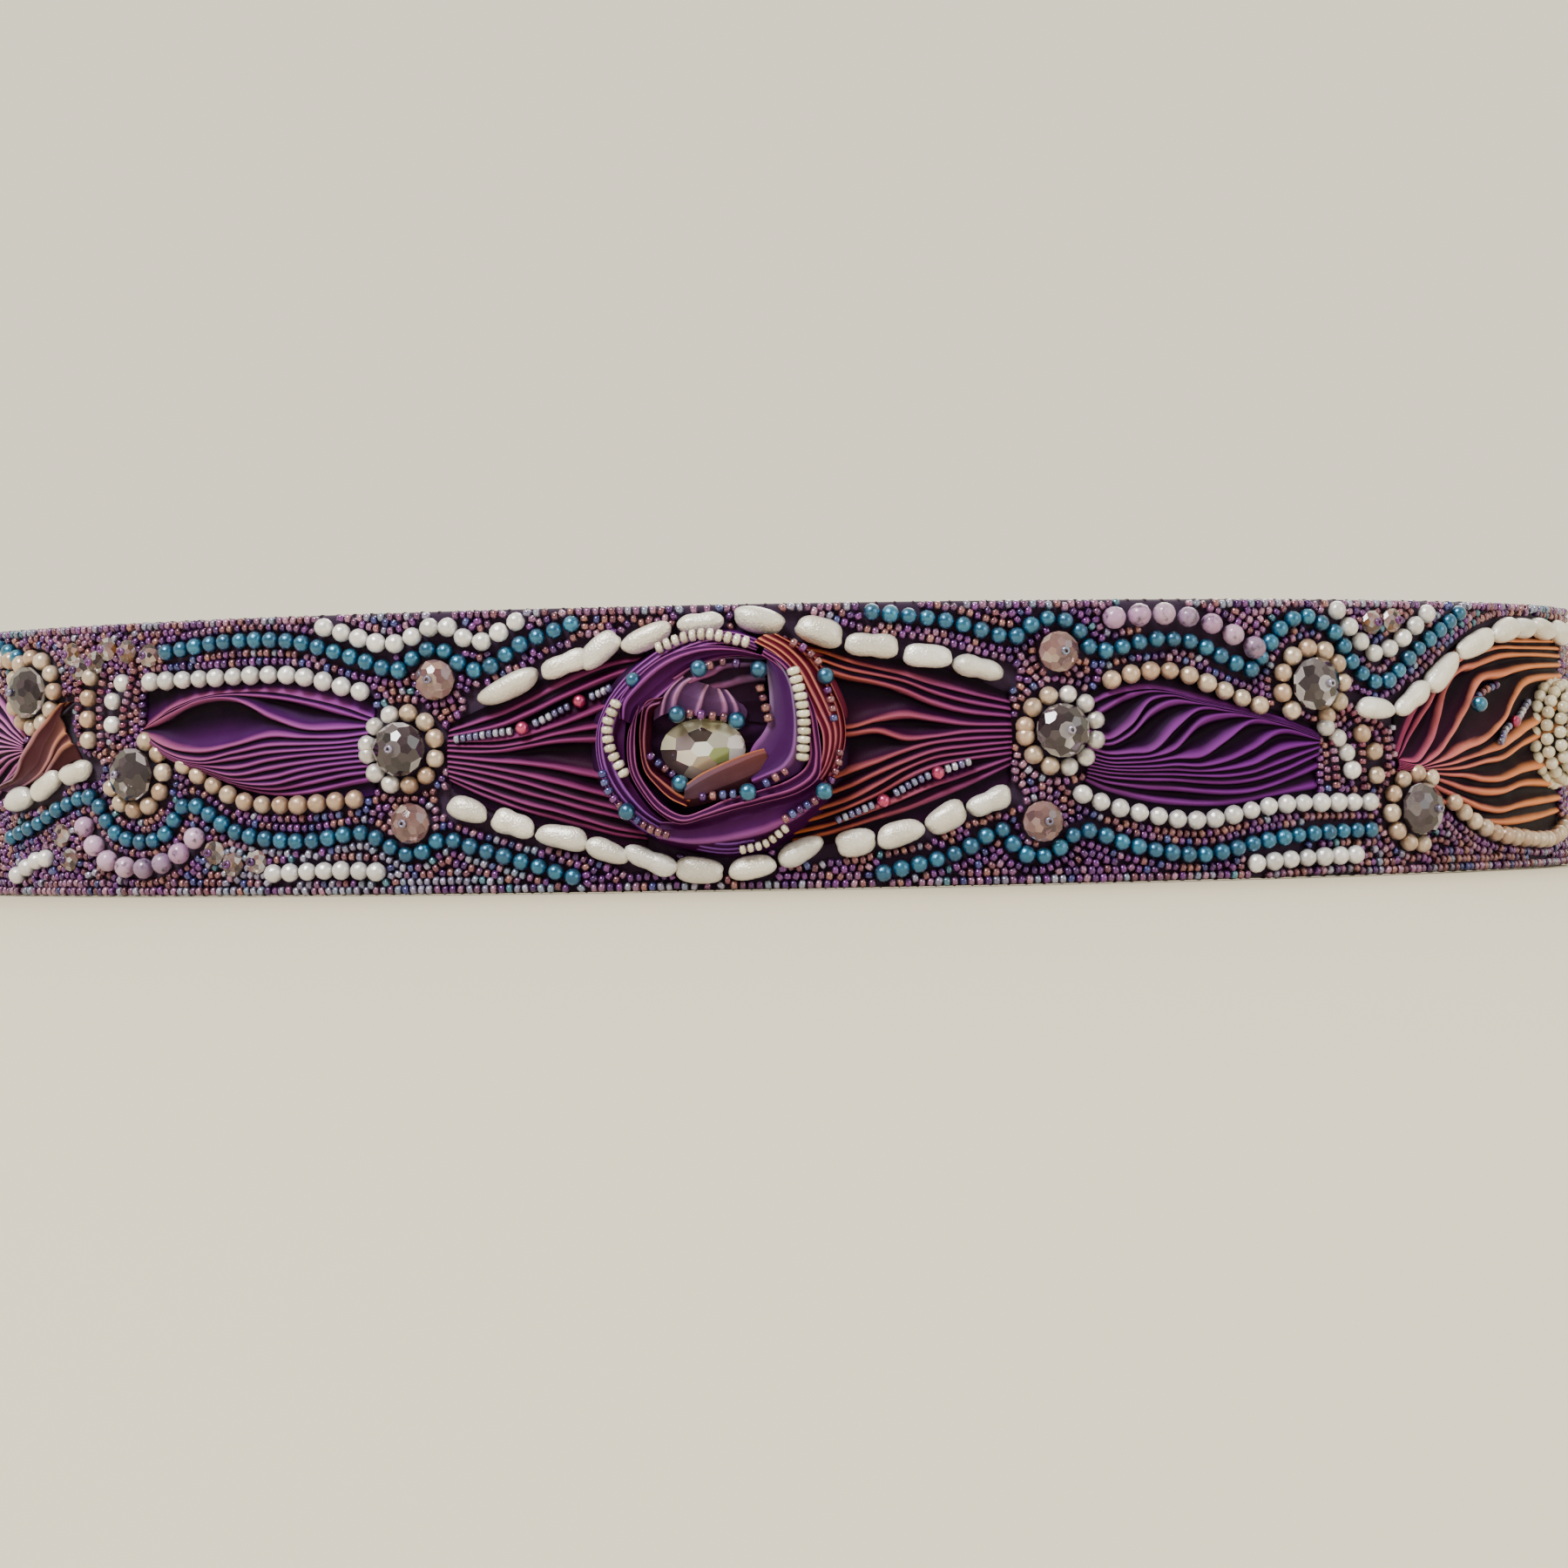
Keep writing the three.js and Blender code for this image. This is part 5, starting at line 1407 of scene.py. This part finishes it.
def long_strip(name, start, end, tall, out, back, lift, stations, cloth, pucker=0.0):
    """A length of cloth with rounded edges: its section is a flat oval from back to out, carried
    along u and lifted by a function of u. The ends are closed."""
    u = np.linspace(start, end, stations)
    wall = out - back
    side = np.linspace(-tall / 2 + wall / 2, tall / 2 - wall / 2, 15)
    round_off = np.linspace(-math.pi / 2, math.pi / 2, 7)[1:-1]
    top = np.stack([tall / 2 - wall / 2 + wall / 2 * np.cos(round_off),
                    wall / 2 * np.sin(round_off)], -1)
    ring = np.vstack([
        np.stack([side[::-1], np.full_like(side, wall / 2)], -1),
        np.stack([-top[::-1, 0], top[::-1, 1]], -1),
        np.stack([side, np.full_like(side, -wall / 2)], -1),
        top,
    ])
    v = np.broadcast_to(ring[:, 0], (stations, len(ring)))
    h = np.broadcast_to(ring[:, 1] + (out + back) / 2, v.shape) + lift(u)[:, None]
    if pucker:
        edge = np.exp(-(((np.abs(v) - tall / 2 + 2.2) / 1.0) ** 2))
        h = h - pucker * edge * np.sign(ring[:, 1]) * (0.6 + 0.4 * np.cos(u * 2.1)[:, None])
    grid = np.stack([np.broadcast_to(u[:, None], v.shape), v, h], -1)
    count = len(ring)
    faces = grid_faces(stations, count, closed=True)
    points = bend(grid.reshape(-1, 3))
    caps = []
    for row, way in ((0, 1), (stations - 1, -1)):
        first = row * count
        half = count // 2
        a = first + np.arange(half - 1)
        b = first + count - 1 - np.arange(half - 1)
        caps.append(np.stack([a, a + 1, b - 1, b], -1)[:, ::way])
    faces = np.vstack([faces, *caps])
    piece = make_mesh(name, points, facing_out(points, faces), cloth)
    around = length_of(np.vstack([ring, ring[:1]]))[:-1]
    place = np.stack([grid[..., 0], np.broadcast_to(around, v.shape)], -1).reshape(-1, 2) / 1000
    unwrap(piece, place)
    return piece


def unlifted(u):
    """A strip that lies on the waist's curve all along."""
    return np.zeros_like(u)


def lapped(u):
    """The left strap's lift over the right one: lift x share^2 x (3 - 2 share), where share runs
    from 0 to 1 along the ramp."""
    share = np.clip((-u - LAP_FROM) / LAP_RAMP, 0, 1)
    return LAP_LIFT * share * share * (3 - 2 * share)


def backing():
    """Felted band with its lining, and the two straps that lap and hook at the centre back."""
    band = long_strip("felt_band", -BAND_HALF, BAND_HALF, BAND_TALL, 0, -BAND_WALL + LINING_ROOM,
                      unlifted, 300, BAND_CLOTH)
    keep(band, "backing_cloth", "front_band")
    lining = long_strip("band_lining", -BAND_HALF + LINING_INSET, BAND_HALF - LINING_INSET,
                        BAND_TALL - LINING_HEM, -BAND_WALL + LINING_WALL, -BAND_WALL, unlifted,
                        420, LINING_CLOTH, pucker=0.12)
    keep(lining, "backing_cloth")
    start, end = BAND_HALF + SEAM, HALF_ROUND + STRAP_LAP
    for side, sign, lift in (("right", 1, unlifted), ("left", -1, lapped)):
        strap = long_strip("strap_" + side, sign * start, sign * end, STRAP_TALL, 0, -STRAP_WALL,
                           lift, 220, STRAP_CLOTH, pucker=0.15)
        keep(strap, "backing_cloth", "back_strap_" + side)


# Seed beads that fill the backing between the rows


def room_map(step, reach=7.0, rosette_mean=20):
    """Room in mm round each cell of the flat band: its distance to the nearest bead, crystal,
    silk panel, rosette or edge. Negative inside one of them."""
    u = np.arange(-BAND_HALF + 1, BAND_HALF - 1, step)
    v = np.arange(-BAND_TALL / 2 + 0.4, BAND_TALL / 2 - 0.4, step)
    uu, vv = np.meshgrid(u, v, indexing="ij")
    room = np.minimum(BAND_TALL / 2 - np.abs(vv) - 0.05, BAND_HALF - np.abs(uu) - 0.6)
    for at_u, at_v, radius in TAKEN:
        a, b = np.searchsorted(u, [at_u - reach, at_u + reach])
        c, d = np.searchsorted(v, [at_v - reach, at_v + reach])
        far = np.hypot(uu[a:b, c:d] - at_u, vv[a:b, c:d] - at_v) - radius
        room[a:b, c:d] = np.minimum(room[a:b, c:d], far)
    for low, high in SILK_EDGES:
        bottom = np.interp(u, low[:, 0], low[:, 1])[:, None] - 0.15
        top = np.interp(u, high[:, 0], high[:, 1])[:, None] + 0.15
        ends = np.maximum(low[0, 0] - u, u - low[-1, 0])[:, None]
        far = np.maximum(np.maximum(bottom - vv, vv - top), ends)
        room = np.minimum(room, far)
    share = np.hypot((uu - ROSETTE_CENTRE[0]) / ROSETTE_WIDE, (vv - ROSETTE_CENTRE[1]) / ROSETTE_TALL)
    return u, v, np.minimum(room, (share - 1) * rosette_mean)


def window(i, j, reach):
    """The rows and the columns within reach of a cell."""
    return slice(max(i - reach, 0), i + reach + 1), slice(max(j - reach, 0), j + reach + 1)


class Field:
    """The room map, read between its cells, and its slope."""

    def __init__(self, step):
        self.step = step
        self.u, self.v, self.room = room_map(step)
        self.slope_u, self.slope_v = np.gradient(self.room, step)

    def cell(self, spot):
        """Row and column of the cell that holds a spot, kept inside the map."""
        i = int((spot[0] - self.u[0]) / self.step + 0.5)
        j = int((spot[1] - self.v[0]) / self.step + 0.5)
        return min(max(i, 1), len(self.u) - 2), min(max(j, 1), len(self.v) - 2)

    def read(self, spot):
        """Room and slope at a spot."""
        x = min(max((spot[0] - self.u[0]) / self.step, 0), len(self.u) - 1.001)
        y = min(max((spot[1] - self.v[0]) / self.step, 0), len(self.v) - 1.001)
        i, j = int(x), int(y)
        a, b = x - i, y - j
        share = ((i, j, (1 - a) * (1 - b)), (i + 1, j, a * (1 - b)), (i, j + 1, (1 - a) * b),
                 (i + 1, j + 1, a * b))
        return [sum(field[m, n] * w for m, n, w in share)
                for field in (self.room, self.slope_u, self.slope_v)]

    def read_all(self, spots):
        """Room and slope at many spots, from the nearest cells."""
        i = np.clip(((spots[:, 0] - self.u[0]) / self.step + 0.5).astype(int), 0, len(self.u) - 1)
        j = np.clip(((spots[:, 1] - self.v[0]) / self.step + 0.5).astype(int), 0, len(self.v) - 1)
        off_u = spots[:, 0] - self.u[i]
        off_v = spots[:, 1] - self.v[j]
        slope_u, slope_v = self.slope_u[i, j], self.slope_v[i, j]
        return self.room[i, j] + off_u * slope_u + off_v * slope_v, slope_u, slope_v


def lay_seeds(pitch=1.42, touch=1.24, first_row=0.76):
    """Seed beads in rows that echo what they lie against: a first row one radius from it, and the
    next ones a pitch further on. A row steps along its own distance until it meets a bead that
    lies there already. What is left between the rows is filled bead by bead."""
    field = Field(0.25)
    free = field.room > 0.5
    disc = int(math.ceil(touch / field.step))
    yard = np.arange(-disc, disc + 1) * field.step
    near = np.hypot(yard[:, None], yard[None, :]) < touch - 0.05
    spots = []

    def sew(spot, run):
        i, j = field.cell(spot)
        rows, cols = window(i, j, disc)
        part = free[rows, cols]
        a, b = rows.start - i + disc, cols.start - j + disc
        part &= ~near[a:a + part.shape[0], b:b + part.shape[1]]
        spots.append((*spot, run))

    def follow(start, row, run, sense):
        spot = np.array(start)
        while True:
            _, slope_u, slope_v = field.read(spot)
            steep = math.hypot(slope_u, slope_v) + 1e-6
            spot = spot + sense * pitch * np.array([-slope_v, slope_u]) / steep
            for _ in range(3):
                room, slope_u, slope_v = field.read(spot)
                steep = slope_u**2 + slope_v**2 + 1e-6
                spot = spot + (row - room) * np.array([slope_u, slope_v]) / max(steep, 0.3)
            if abs(field.read(spot)[0] - row) > 0.25 or not free[field.cell(spot)]:
                return
            sew(spot, run)

    run = 0
    for level in range(9):
        row = first_row + pitch * level
        lane = np.argwhere((np.abs(field.room - row) < 0.13) & free)
        for i, j in lane:
            if free[i, j]:
                start = (field.u[i], field.v[j])
                sew(start, run)
                follow(start, row, run, 1)
                follow(start, row, run, -1)
                run += 1
    order = np.argwhere(free & (field.room > 0.62))
    order = order[np.argsort(-field.room[order[:, 0], order[:, 1]] % pitch, kind="stable")]
    for i, j in order:
        if free[i, j]:
            sew((field.u[i], field.v[j]), run)
            run += 1
    table = np.array(spots)
    for _ in range(3):
        table = fitted(table, field, 1.4)
        table = close_up(table, field, run)
        run = int(table[:, 2].max()) + 1
    table = fitted(table, field, 1.34)
    slopes = np.stack(field.read_all(table[:, :2])[1:], -1)
    way = np.stack([-slopes[:, 1], slopes[:, 0]], -1) + 1e-6
    way /= np.linalg.norm(way, axis=1, keepdims=True)
    return table[:, :2], way, table[:, 2].astype(int)


def fitted(spots, field, gap, rounds=40, reach=2.6):
    """The seed beads pushed a gap apart, and half a gap away from what they lie against. Each is
    paired with the ones after it along the band that lie within reach."""
    spots = spots[np.argsort(spots[:, 0])]
    index = np.arange(len(spots))
    after = np.searchsorted(spots[:, 0], spots[:, 0] + reach) - index - 1
    first = np.repeat(index, after)
    starts = np.cumsum(after) - after
    second = first + 1 + np.arange(len(first)) - starts[first]
    close = np.abs(spots[first, 1] - spots[second, 1]) < reach
    first, second = first[close], second[close]
    for _ in range(rounds):
        between = spots[first, :2] - spots[second, :2]
        far = np.linalg.norm(between, axis=1, keepdims=True) + 1e-6
        push = between / far * np.maximum(gap - far, 0) * 0.35
        moved = np.zeros((len(spots), 2))
        np.add.at(moved, first, push)
        np.add.at(moved, second, -push)
        room, slope_u, slope_v = field.read_all(spots[:, :2])
        away = np.maximum(0.5 * gap + 0.04 - room, 0)[:, None]
        spots[:, :2] += moved + away * np.stack([slope_u, slope_v], -1)
    return spots


def close_up(spots, field, run, touch=1.16):
    """Sews a bead into each gap that is left between the seed beads."""
    far = np.full(field.room.shape, 9.0)
    reach = int(3 / field.step)
    for at_u, at_v in spots[:, :2]:
        rows, cols = window(*field.cell((at_u, at_v)), reach)
        near = np.hypot(field.u[rows, None] - at_u, field.v[None, cols] - at_v)
        far[rows, cols] = np.minimum(far[rows, cols], near)
    free = (far > touch) & (field.room > 0.5)
    added = []
    while free.any():
        i, j = np.unravel_index(np.argmax(np.where(free, far, 0)), far.shape)
        added.append((field.u[i], field.v[j], run + len(added)))
        rows, cols = window(i, j, reach)
        near = np.hypot(field.u[rows, None] - field.u[i], field.v[None, cols] - field.v[j])
        free[rows, cols] &= near > touch
    return np.vstack([spots, added]) if added else spots


def seed_colours(spots, run, seed):
    """Each row leans to plum, copper or rose glass, with stray beads of other colours. The
    outermost rows are paler and bluer, and the corner under the lower left row is lilac."""
    rng = np.random.default_rng(seed)
    lean = rng.choice(3, run.max() + 1, p=[0.4, 0.36, 0.24])[run]
    share = np.array([SEED_SHARES[name] for name in ("plum", "copper", "rose")])[lean]
    u, v = spots.T
    share[np.abs(v) > BAND_TALL / 2 - 1.6] = SEED_SHARES["edge"]
    share[(u > -92) & (u < -28) & (v < -14.5) & (lean != 1)] = SEED_SHARES["lilac"]
    strip = np.cumsum(share, axis=1)
    chosen = (rng.random((len(u), 1)) > strip / strip[:, -1:]).sum(1)
    tints = np.zeros((len(u), 3))
    for number, name in enumerate(SEED_TINTS):
        mask = chosen == number
        tints[mask] = pick(SEED_TINTS[name], int(mask.sum()), seed + number)
    return tints


def seed_fill():
    """All seed beads on the backing, in five lengths of the band."""
    spots, way, run = lay_seeds()
    rng = np.random.default_rng(5)
    count = len(spots)
    tints = seed_colours(spots, run, 900)
    sizes = SEED * rng.uniform(0.92, 1.06, (count, 1)) * [1.12, 1, 1]
    lean = rng.normal(0, 0.2, count)
    way = np.stack([way[:, 0] - lean * way[:, 1], way[:, 1] + lean * way[:, 0]], -1)
    way /= np.linalg.norm(way, axis=1, keepdims=True)
    places = np.column_stack([spots, 0.72 + rng.uniform(0, 0.4, count)])
    limits = np.linspace(-BAND_HALF, BAND_HALF, 6)
    for part, (start, end) in enumerate(zip(limits, limits[1:])):
        mask = (spots[:, 0] >= start) & (spots[:, 0] < end)
        piece = strew(f"seeds_{part + 1}", SEED_SHAPE, places[mask], sizes[mask], way[mask],
                      SHELLS["seed"], tints[mask])
        keep(piece, "crystal_smoke")


# Beads on the silk


def top_of_silk(spots, reach=1.0):
    """Height of the silk under each spot: the highest silk point within reach."""
    tops = np.vstack(SILK_TOPS)
    far = np.hypot(spots[:, 0, None] - tops[None, :, 0], spots[:, 1, None] - tops[None, :, 1])
    heights = np.where(far < reach, tops[None, :, 2], 0.3)
    return heights.max(1)


def beads_on_silk():
    """Short runs of small beads laid over the folds, and single teal and pink beads."""
    single = np.array(TEAL_ON_SILK + TEAL_HALF_SEEN + PINK_ON_SILK, float)
    for number, (name, (kind, wide, pitch, path)) in enumerate(ON_SILK.items()):
        run = length_of(spline(path))[-1]
        count = max(2, round(run / pitch) + 1)
        spots = walk(path, count)
        clear = np.hypot(*(spots[:, None] - single[None]).transpose(2, 0, 1)).min(1) > 1.6
        way = ways(spots)[clear]
        spots = spots[clear]
        count = len(spots)
        rise = top_of_silk(spots)
        if count > 2:
            rise = np.convolve(np.pad(rise, 1, "edge"), [0.25, 0.5, 0.25], "valid")
        places = np.column_stack([spots, rise + wide * 0.3])
        if kind == "seed":
            rng = np.random.default_rng(300 + number)
            every = SEED_TINTS["copper"] + SEED_TINTS["plum"] + SEED_TINTS["blue"][:2]
            tints = pick(every + SEED_TINTS["copper"], count, 300 + number)
            sizes = wide * rng.uniform(0.9, 1.05, (count, 1)) * [1.2, 1, 1]
        else:
            tints = pick(TINTS[kind], count, 300 + number)
            sizes = np.tile([1.3 * pitch, wide, wide], (count, 1))
        look = SHELLS["ivory" if kind == "ivory" else "seed"]
        keep(strew("run_" + name, SEED_SHAPE, places, sizes, way, look, tints), "crystal_smoke")
    for name, spots, wide, above, kind in (
        ("teal_on_silk", TEAL_ON_SILK, 3.0, 0.34, "teal"),
        ("teal_half_seen", TEAL_HALF_SEEN, 2.6, -0.1, "teal"),
        ("pink_on_silk", PINK_ON_SILK, 2.3, 0.34, "pink"),
    ):
        spots = np.array(spots, float)
        rise = top_of_silk(spots) + wide * above
        keep(strew(name, BEAD_SHAPE, np.column_stack([spots, rise]), (wide / 2,) * 3, (1, 0),
                   SHELLS["teal"], pick(TINTS[kind], len(spots), 350)), "pearl_teal")


def seed_columns():
    """Raised columns of seed beads between the short rows of pearls."""
    for number, path in enumerate(COLUMNS):
        count = round(length_of(spline(path))[-1] / SEED) + 1
        spots = walk(path, count)
        places = np.column_stack([spots, np.full(count, 1.5)])
        shades = TINTS["maroon"] + SEED_TINTS["copper"][:1] + SEED_TINTS["rose"][:1]
        keep(strew(f"seed_column_{number + 1}", SEED_SHAPE, places, (1.65, SEED, SEED),
                   ways(spots), SHELLS["seed"], pick(shades, count, 400 + number)),
             "crystal_smoke")
        TAKEN.extend([[u, v, 0.7] for u, v in walk(path, 3 * count)])


def small_extras():
    """Cut beads in the corners, held by seed beads, and loose pearls at the ends of the rows."""
    points, faces, owner = rondelle(4.1, 7)
    spots = np.array(CORNER_CUTS, float)
    count = len(spots)
    # Painted reflections: each facet takes its own light or dark tint at random, as the glints of cut
    # glass
    shades = TINTS["smoke"] + TINTS["rosy"] + [0x6A4634, 0x8A5A30, 0x3A2424, 0xD8D0CC]
    tints = pick(shades, count * (owner.max() + 1), 61).reshape(count, -1, 3)[:, owner]
    keep(strew("corner_cuts", (points, faces), np.column_stack([spots, np.full(count, 0.4)]),
               (1, 1, 1), (1, 0), SHELLS["crystal"], tints.reshape(-1, 3), upright=True,
               smooth=False), "crystal_smoke")
    keep(strew("corner_stoppers", SEED_SHAPE, np.column_stack([spots, np.full(count, 2.8)]),
               (SEED,) * 3, (1, 0), SHELLS["seed"], pick(SEED_TINTS["plum"], count, 63),
               upright=True), "crystal_smoke")
    TAKEN.extend([[u, v, 1.7] for u, v in CORNER_CUTS])
    for name, kind, places, wide in (
        ("loose_teal", "teal", LOOSE_TEAL, 3.0), ("loose_white", "white", LOOSE_WHITE, 3.3)):
        spots = np.array(places, float)
        keep(strew(name, BEAD_SHAPE, np.column_stack([spots, np.full(len(spots), wide / 2)]),
                   (wide / 2,) * 3, (1, 0), SHELLS[kind], pick(TINTS[kind], len(spots), 62)),
             SLOTS[kind])
        TAKEN.extend([[u, v, wide / 2] for u, v in places])


def dome():
    """Rings of ivory beads that climb a low dome, with one bead on top."""
    places, ways_round = [], []
    for radius, h, shift in ((9.3, 1.2, 0), (8.6, 3.2, 0.5), (7, 5, 0), (4.9, 6.2, 0.5),
                             (2.6, 6.9, 0), (0.2, 7.2, 0)):
        count = max(1, round(2 * math.pi * radius / 2.45))
        turn = (np.arange(count) + shift) / count * 2 * math.pi
        places.append(np.stack([DOME_CENTRE[0] + radius * np.cos(turn),
                                DOME_CENTRE[1] + radius * np.sin(turn), np.full(count, h)], -1))
        ways_round.append(np.stack([-np.sin(turn), np.cos(turn)], -1))
    places, way = np.vstack(places), np.vstack(ways_round)
    piece = strew("pearl_dome_beads", SMALL_SHAPE, places, (1.22, 1.22, 1.22), way,
                  SHELLS["ivory"], pick(TINTS["ivory"], len(places), 64))
    keep(piece, "pearl_cream", "pearl_dome")
    TAKEN.append([*DOME_CENTRE, DOME_RADIUS])


# Sewing

STITCH_SHAPE = lathe([(-0.5, 0.18), (-0.38, 0.42), (0, 0.5), (0.38, 0.42), (0.5, 0.18)], 6)


def stitch_run(label, places, size, way, threads, seed):
    """Stitches of one size that are sewn with one thread."""
    keep(strew("stitch_" + label, STITCH_SHAPE, places, size, way, SHELLS["thread"],
               pick(threads, len(places), seed)), "backing_cloth")


def places_at(u, v, h):
    """Flat places [u, v, h] from numbers or arrays."""
    return np.column_stack(np.broadcast_arrays(u, v, h))


def stitches():
    """Whip stitches over the band's edges, running stitches on the lining and the straps, and
    crosses over the seams between band and straps."""
    u = np.arange(-BAND_HALF + 3, BAND_HALF - 2, 3.1)
    for label, v in (("edge_top", BAND_TALL / 2 - 0.15), ("edge_low", -BAND_TALL / 2 + 0.15)):
        stitch_run(label, places_at(u, v, -0.9), (0.5, 0.42, 2.2), (0.25, 0.97),
                   TINTS["thread"], 71)
    for label, v in (("lining_top", 20.9), ("lining_low", -20.9)):
        stitch_run(label, places_at(u, v, -BAND_WALL - 0.03), (2.0, 0.45, 0.4), (1, 0),
                   TINTS["lining_thread"], 72)
    for side, sign in (("right", 1), ("left", -1)):
        run = sign * np.arange(BAND_HALF + 3, HALF_ROUND + STRAP_LAP - 2, 2.6)
        places = np.vstack([places_at(run, v, lapped(run) + h)
                            for v in (17.6, -17.6) for h in (0.02, -STRAP_WALL - 0.02)])
        stitch_run("strap_" + side, places, (1.7, 0.4, 0.36), (1, 0), TINTS["strap_thread"], 73)
        rows = np.arange(-18, 19, 3.0)
        seam = sign * (BAND_HALF + 0.15)
        cross = np.vstack([places_at(seam, rows, h)
                           for h in (0.1, -STRAP_WALL - 0.15) for _ in range(2)])
        pair = np.repeat([[math.cos(0.55), math.sin(0.55)], [math.cos(-0.55), math.sin(-0.55)]],
                         len(rows), axis=0)
        stitch_run("join_" + side, cross, (4.2, 0.5, 0.5), np.tile(pair, (2, 1)),
                   TINTS["strap_thread"], 74)


for panel in CRESTS:
    silk_panel(panel)
rosette_bed()
for fold_name in FOLDS:
    silk_fold(fold_name)
stone()
dome()
rice_by_rosette()
small_extras()
seed_columns()
backing()
seed_fill()
beads_on_silk()
stitches()

hook = NODES["back_hook"]
hook.data.materials.clear()
hook.data.materials.append(metal_material())


# Studio and camera


def soft_light(name, place, target, size, power):
    """A square softbox at place, turned to target."""
    light = bpy.data.lights.new(name, "AREA")
    light.size = size
    light.energy = power
    lamp = bpy.data.objects.new(name, light)
    toward = np.array(target) - place
    toward = toward / np.linalg.norm(toward)
    yaw = math.atan2(toward[1], toward[0]) - math.pi / 2
    pitch = math.acos(-toward[2])
    lamp.matrix_world = (Matrix.Translation(place) @ Matrix.Rotation(yaw, 4, "Z")
                         @ Matrix.Rotation(pitch, 4, "X"))
    bpy.context.scene.collection.objects.link(lamp)


def studio():
    """A pale floor that the sash stands on, a soft key from the upper left front, a fill from the
    right, and a sky that is paler behind the sash than in front of it."""
    size = 6.0
    level = -BAND_TALL / 2000 - 0.0002
    corners = np.array([[-size, -size, level], [size, -size, level], [size, size, level],
                        [-size, size, level]])
    floor = make_mesh("floor", corners, np.array([[0, 1, 2, 3]]),
                      plain_material("pale_floor", 0xDCD2BC, 0xD4C9B2, 3.0, 0.8), smooth=False)
    soft_light("key", (-0.55, -0.95, 1.15), (0, 0, 0), 0.5, 27)
    soft_light("fill", (1.2, -0.9, 0.4), (0, 0, 0), 0.8, 5)
    soft_light("rim", (0.3, 1.3, 1.1), (0, 0, 0), 0.9, 10)
    world = bpy.data.worlds.new("studio")
    world.use_nodes = True
    tree = world.node_tree
    way = add(tree, "SeparateXYZ", {"Vector": add(tree, "TexCoord").outputs["Generated"]})
    depth = add(tree, "MapRange", {"Value": way.outputs["Y"], "From Min": -0.9, "From Max": 0.5,
                                   "To Min": 0.5, "To Max": 1.32}, interpolation_type="SMOOTHSTEP")
    sky = tree.nodes["Background"]
    sky.inputs["Color"].default_value = (1.0, 0.92, 0.7, 1)
    tree.links.new(depth.outputs[0], sky.inputs["Strength"])
    bpy.context.scene.world = world


def camera():
    """The photo's view: level, 650 mm off the band, turned 2.7 degrees and rolled by 1."""
    lens = bpy.data.cameras.new("camera")
    lens.lens = 89.7
    lens.sensor_width = 36
    lens.clip_start = 0.01
    eye = bpy.data.objects.new("camera", lens)
    turn = math.radians(2.7337)
    eye.matrix_world = (Matrix.Translation((0.041797, -0.755003, -0.0063))
                        @ Matrix.Rotation(turn, 4, "Z") @ Matrix.Rotation(math.pi / 2, 4, "X")
                        @ Matrix.Rotation(math.radians(-1.03), 4, "Z"))
    bpy.context.scene.collection.objects.link(eye)
    bpy.context.scene.camera = eye


studio()
camera()
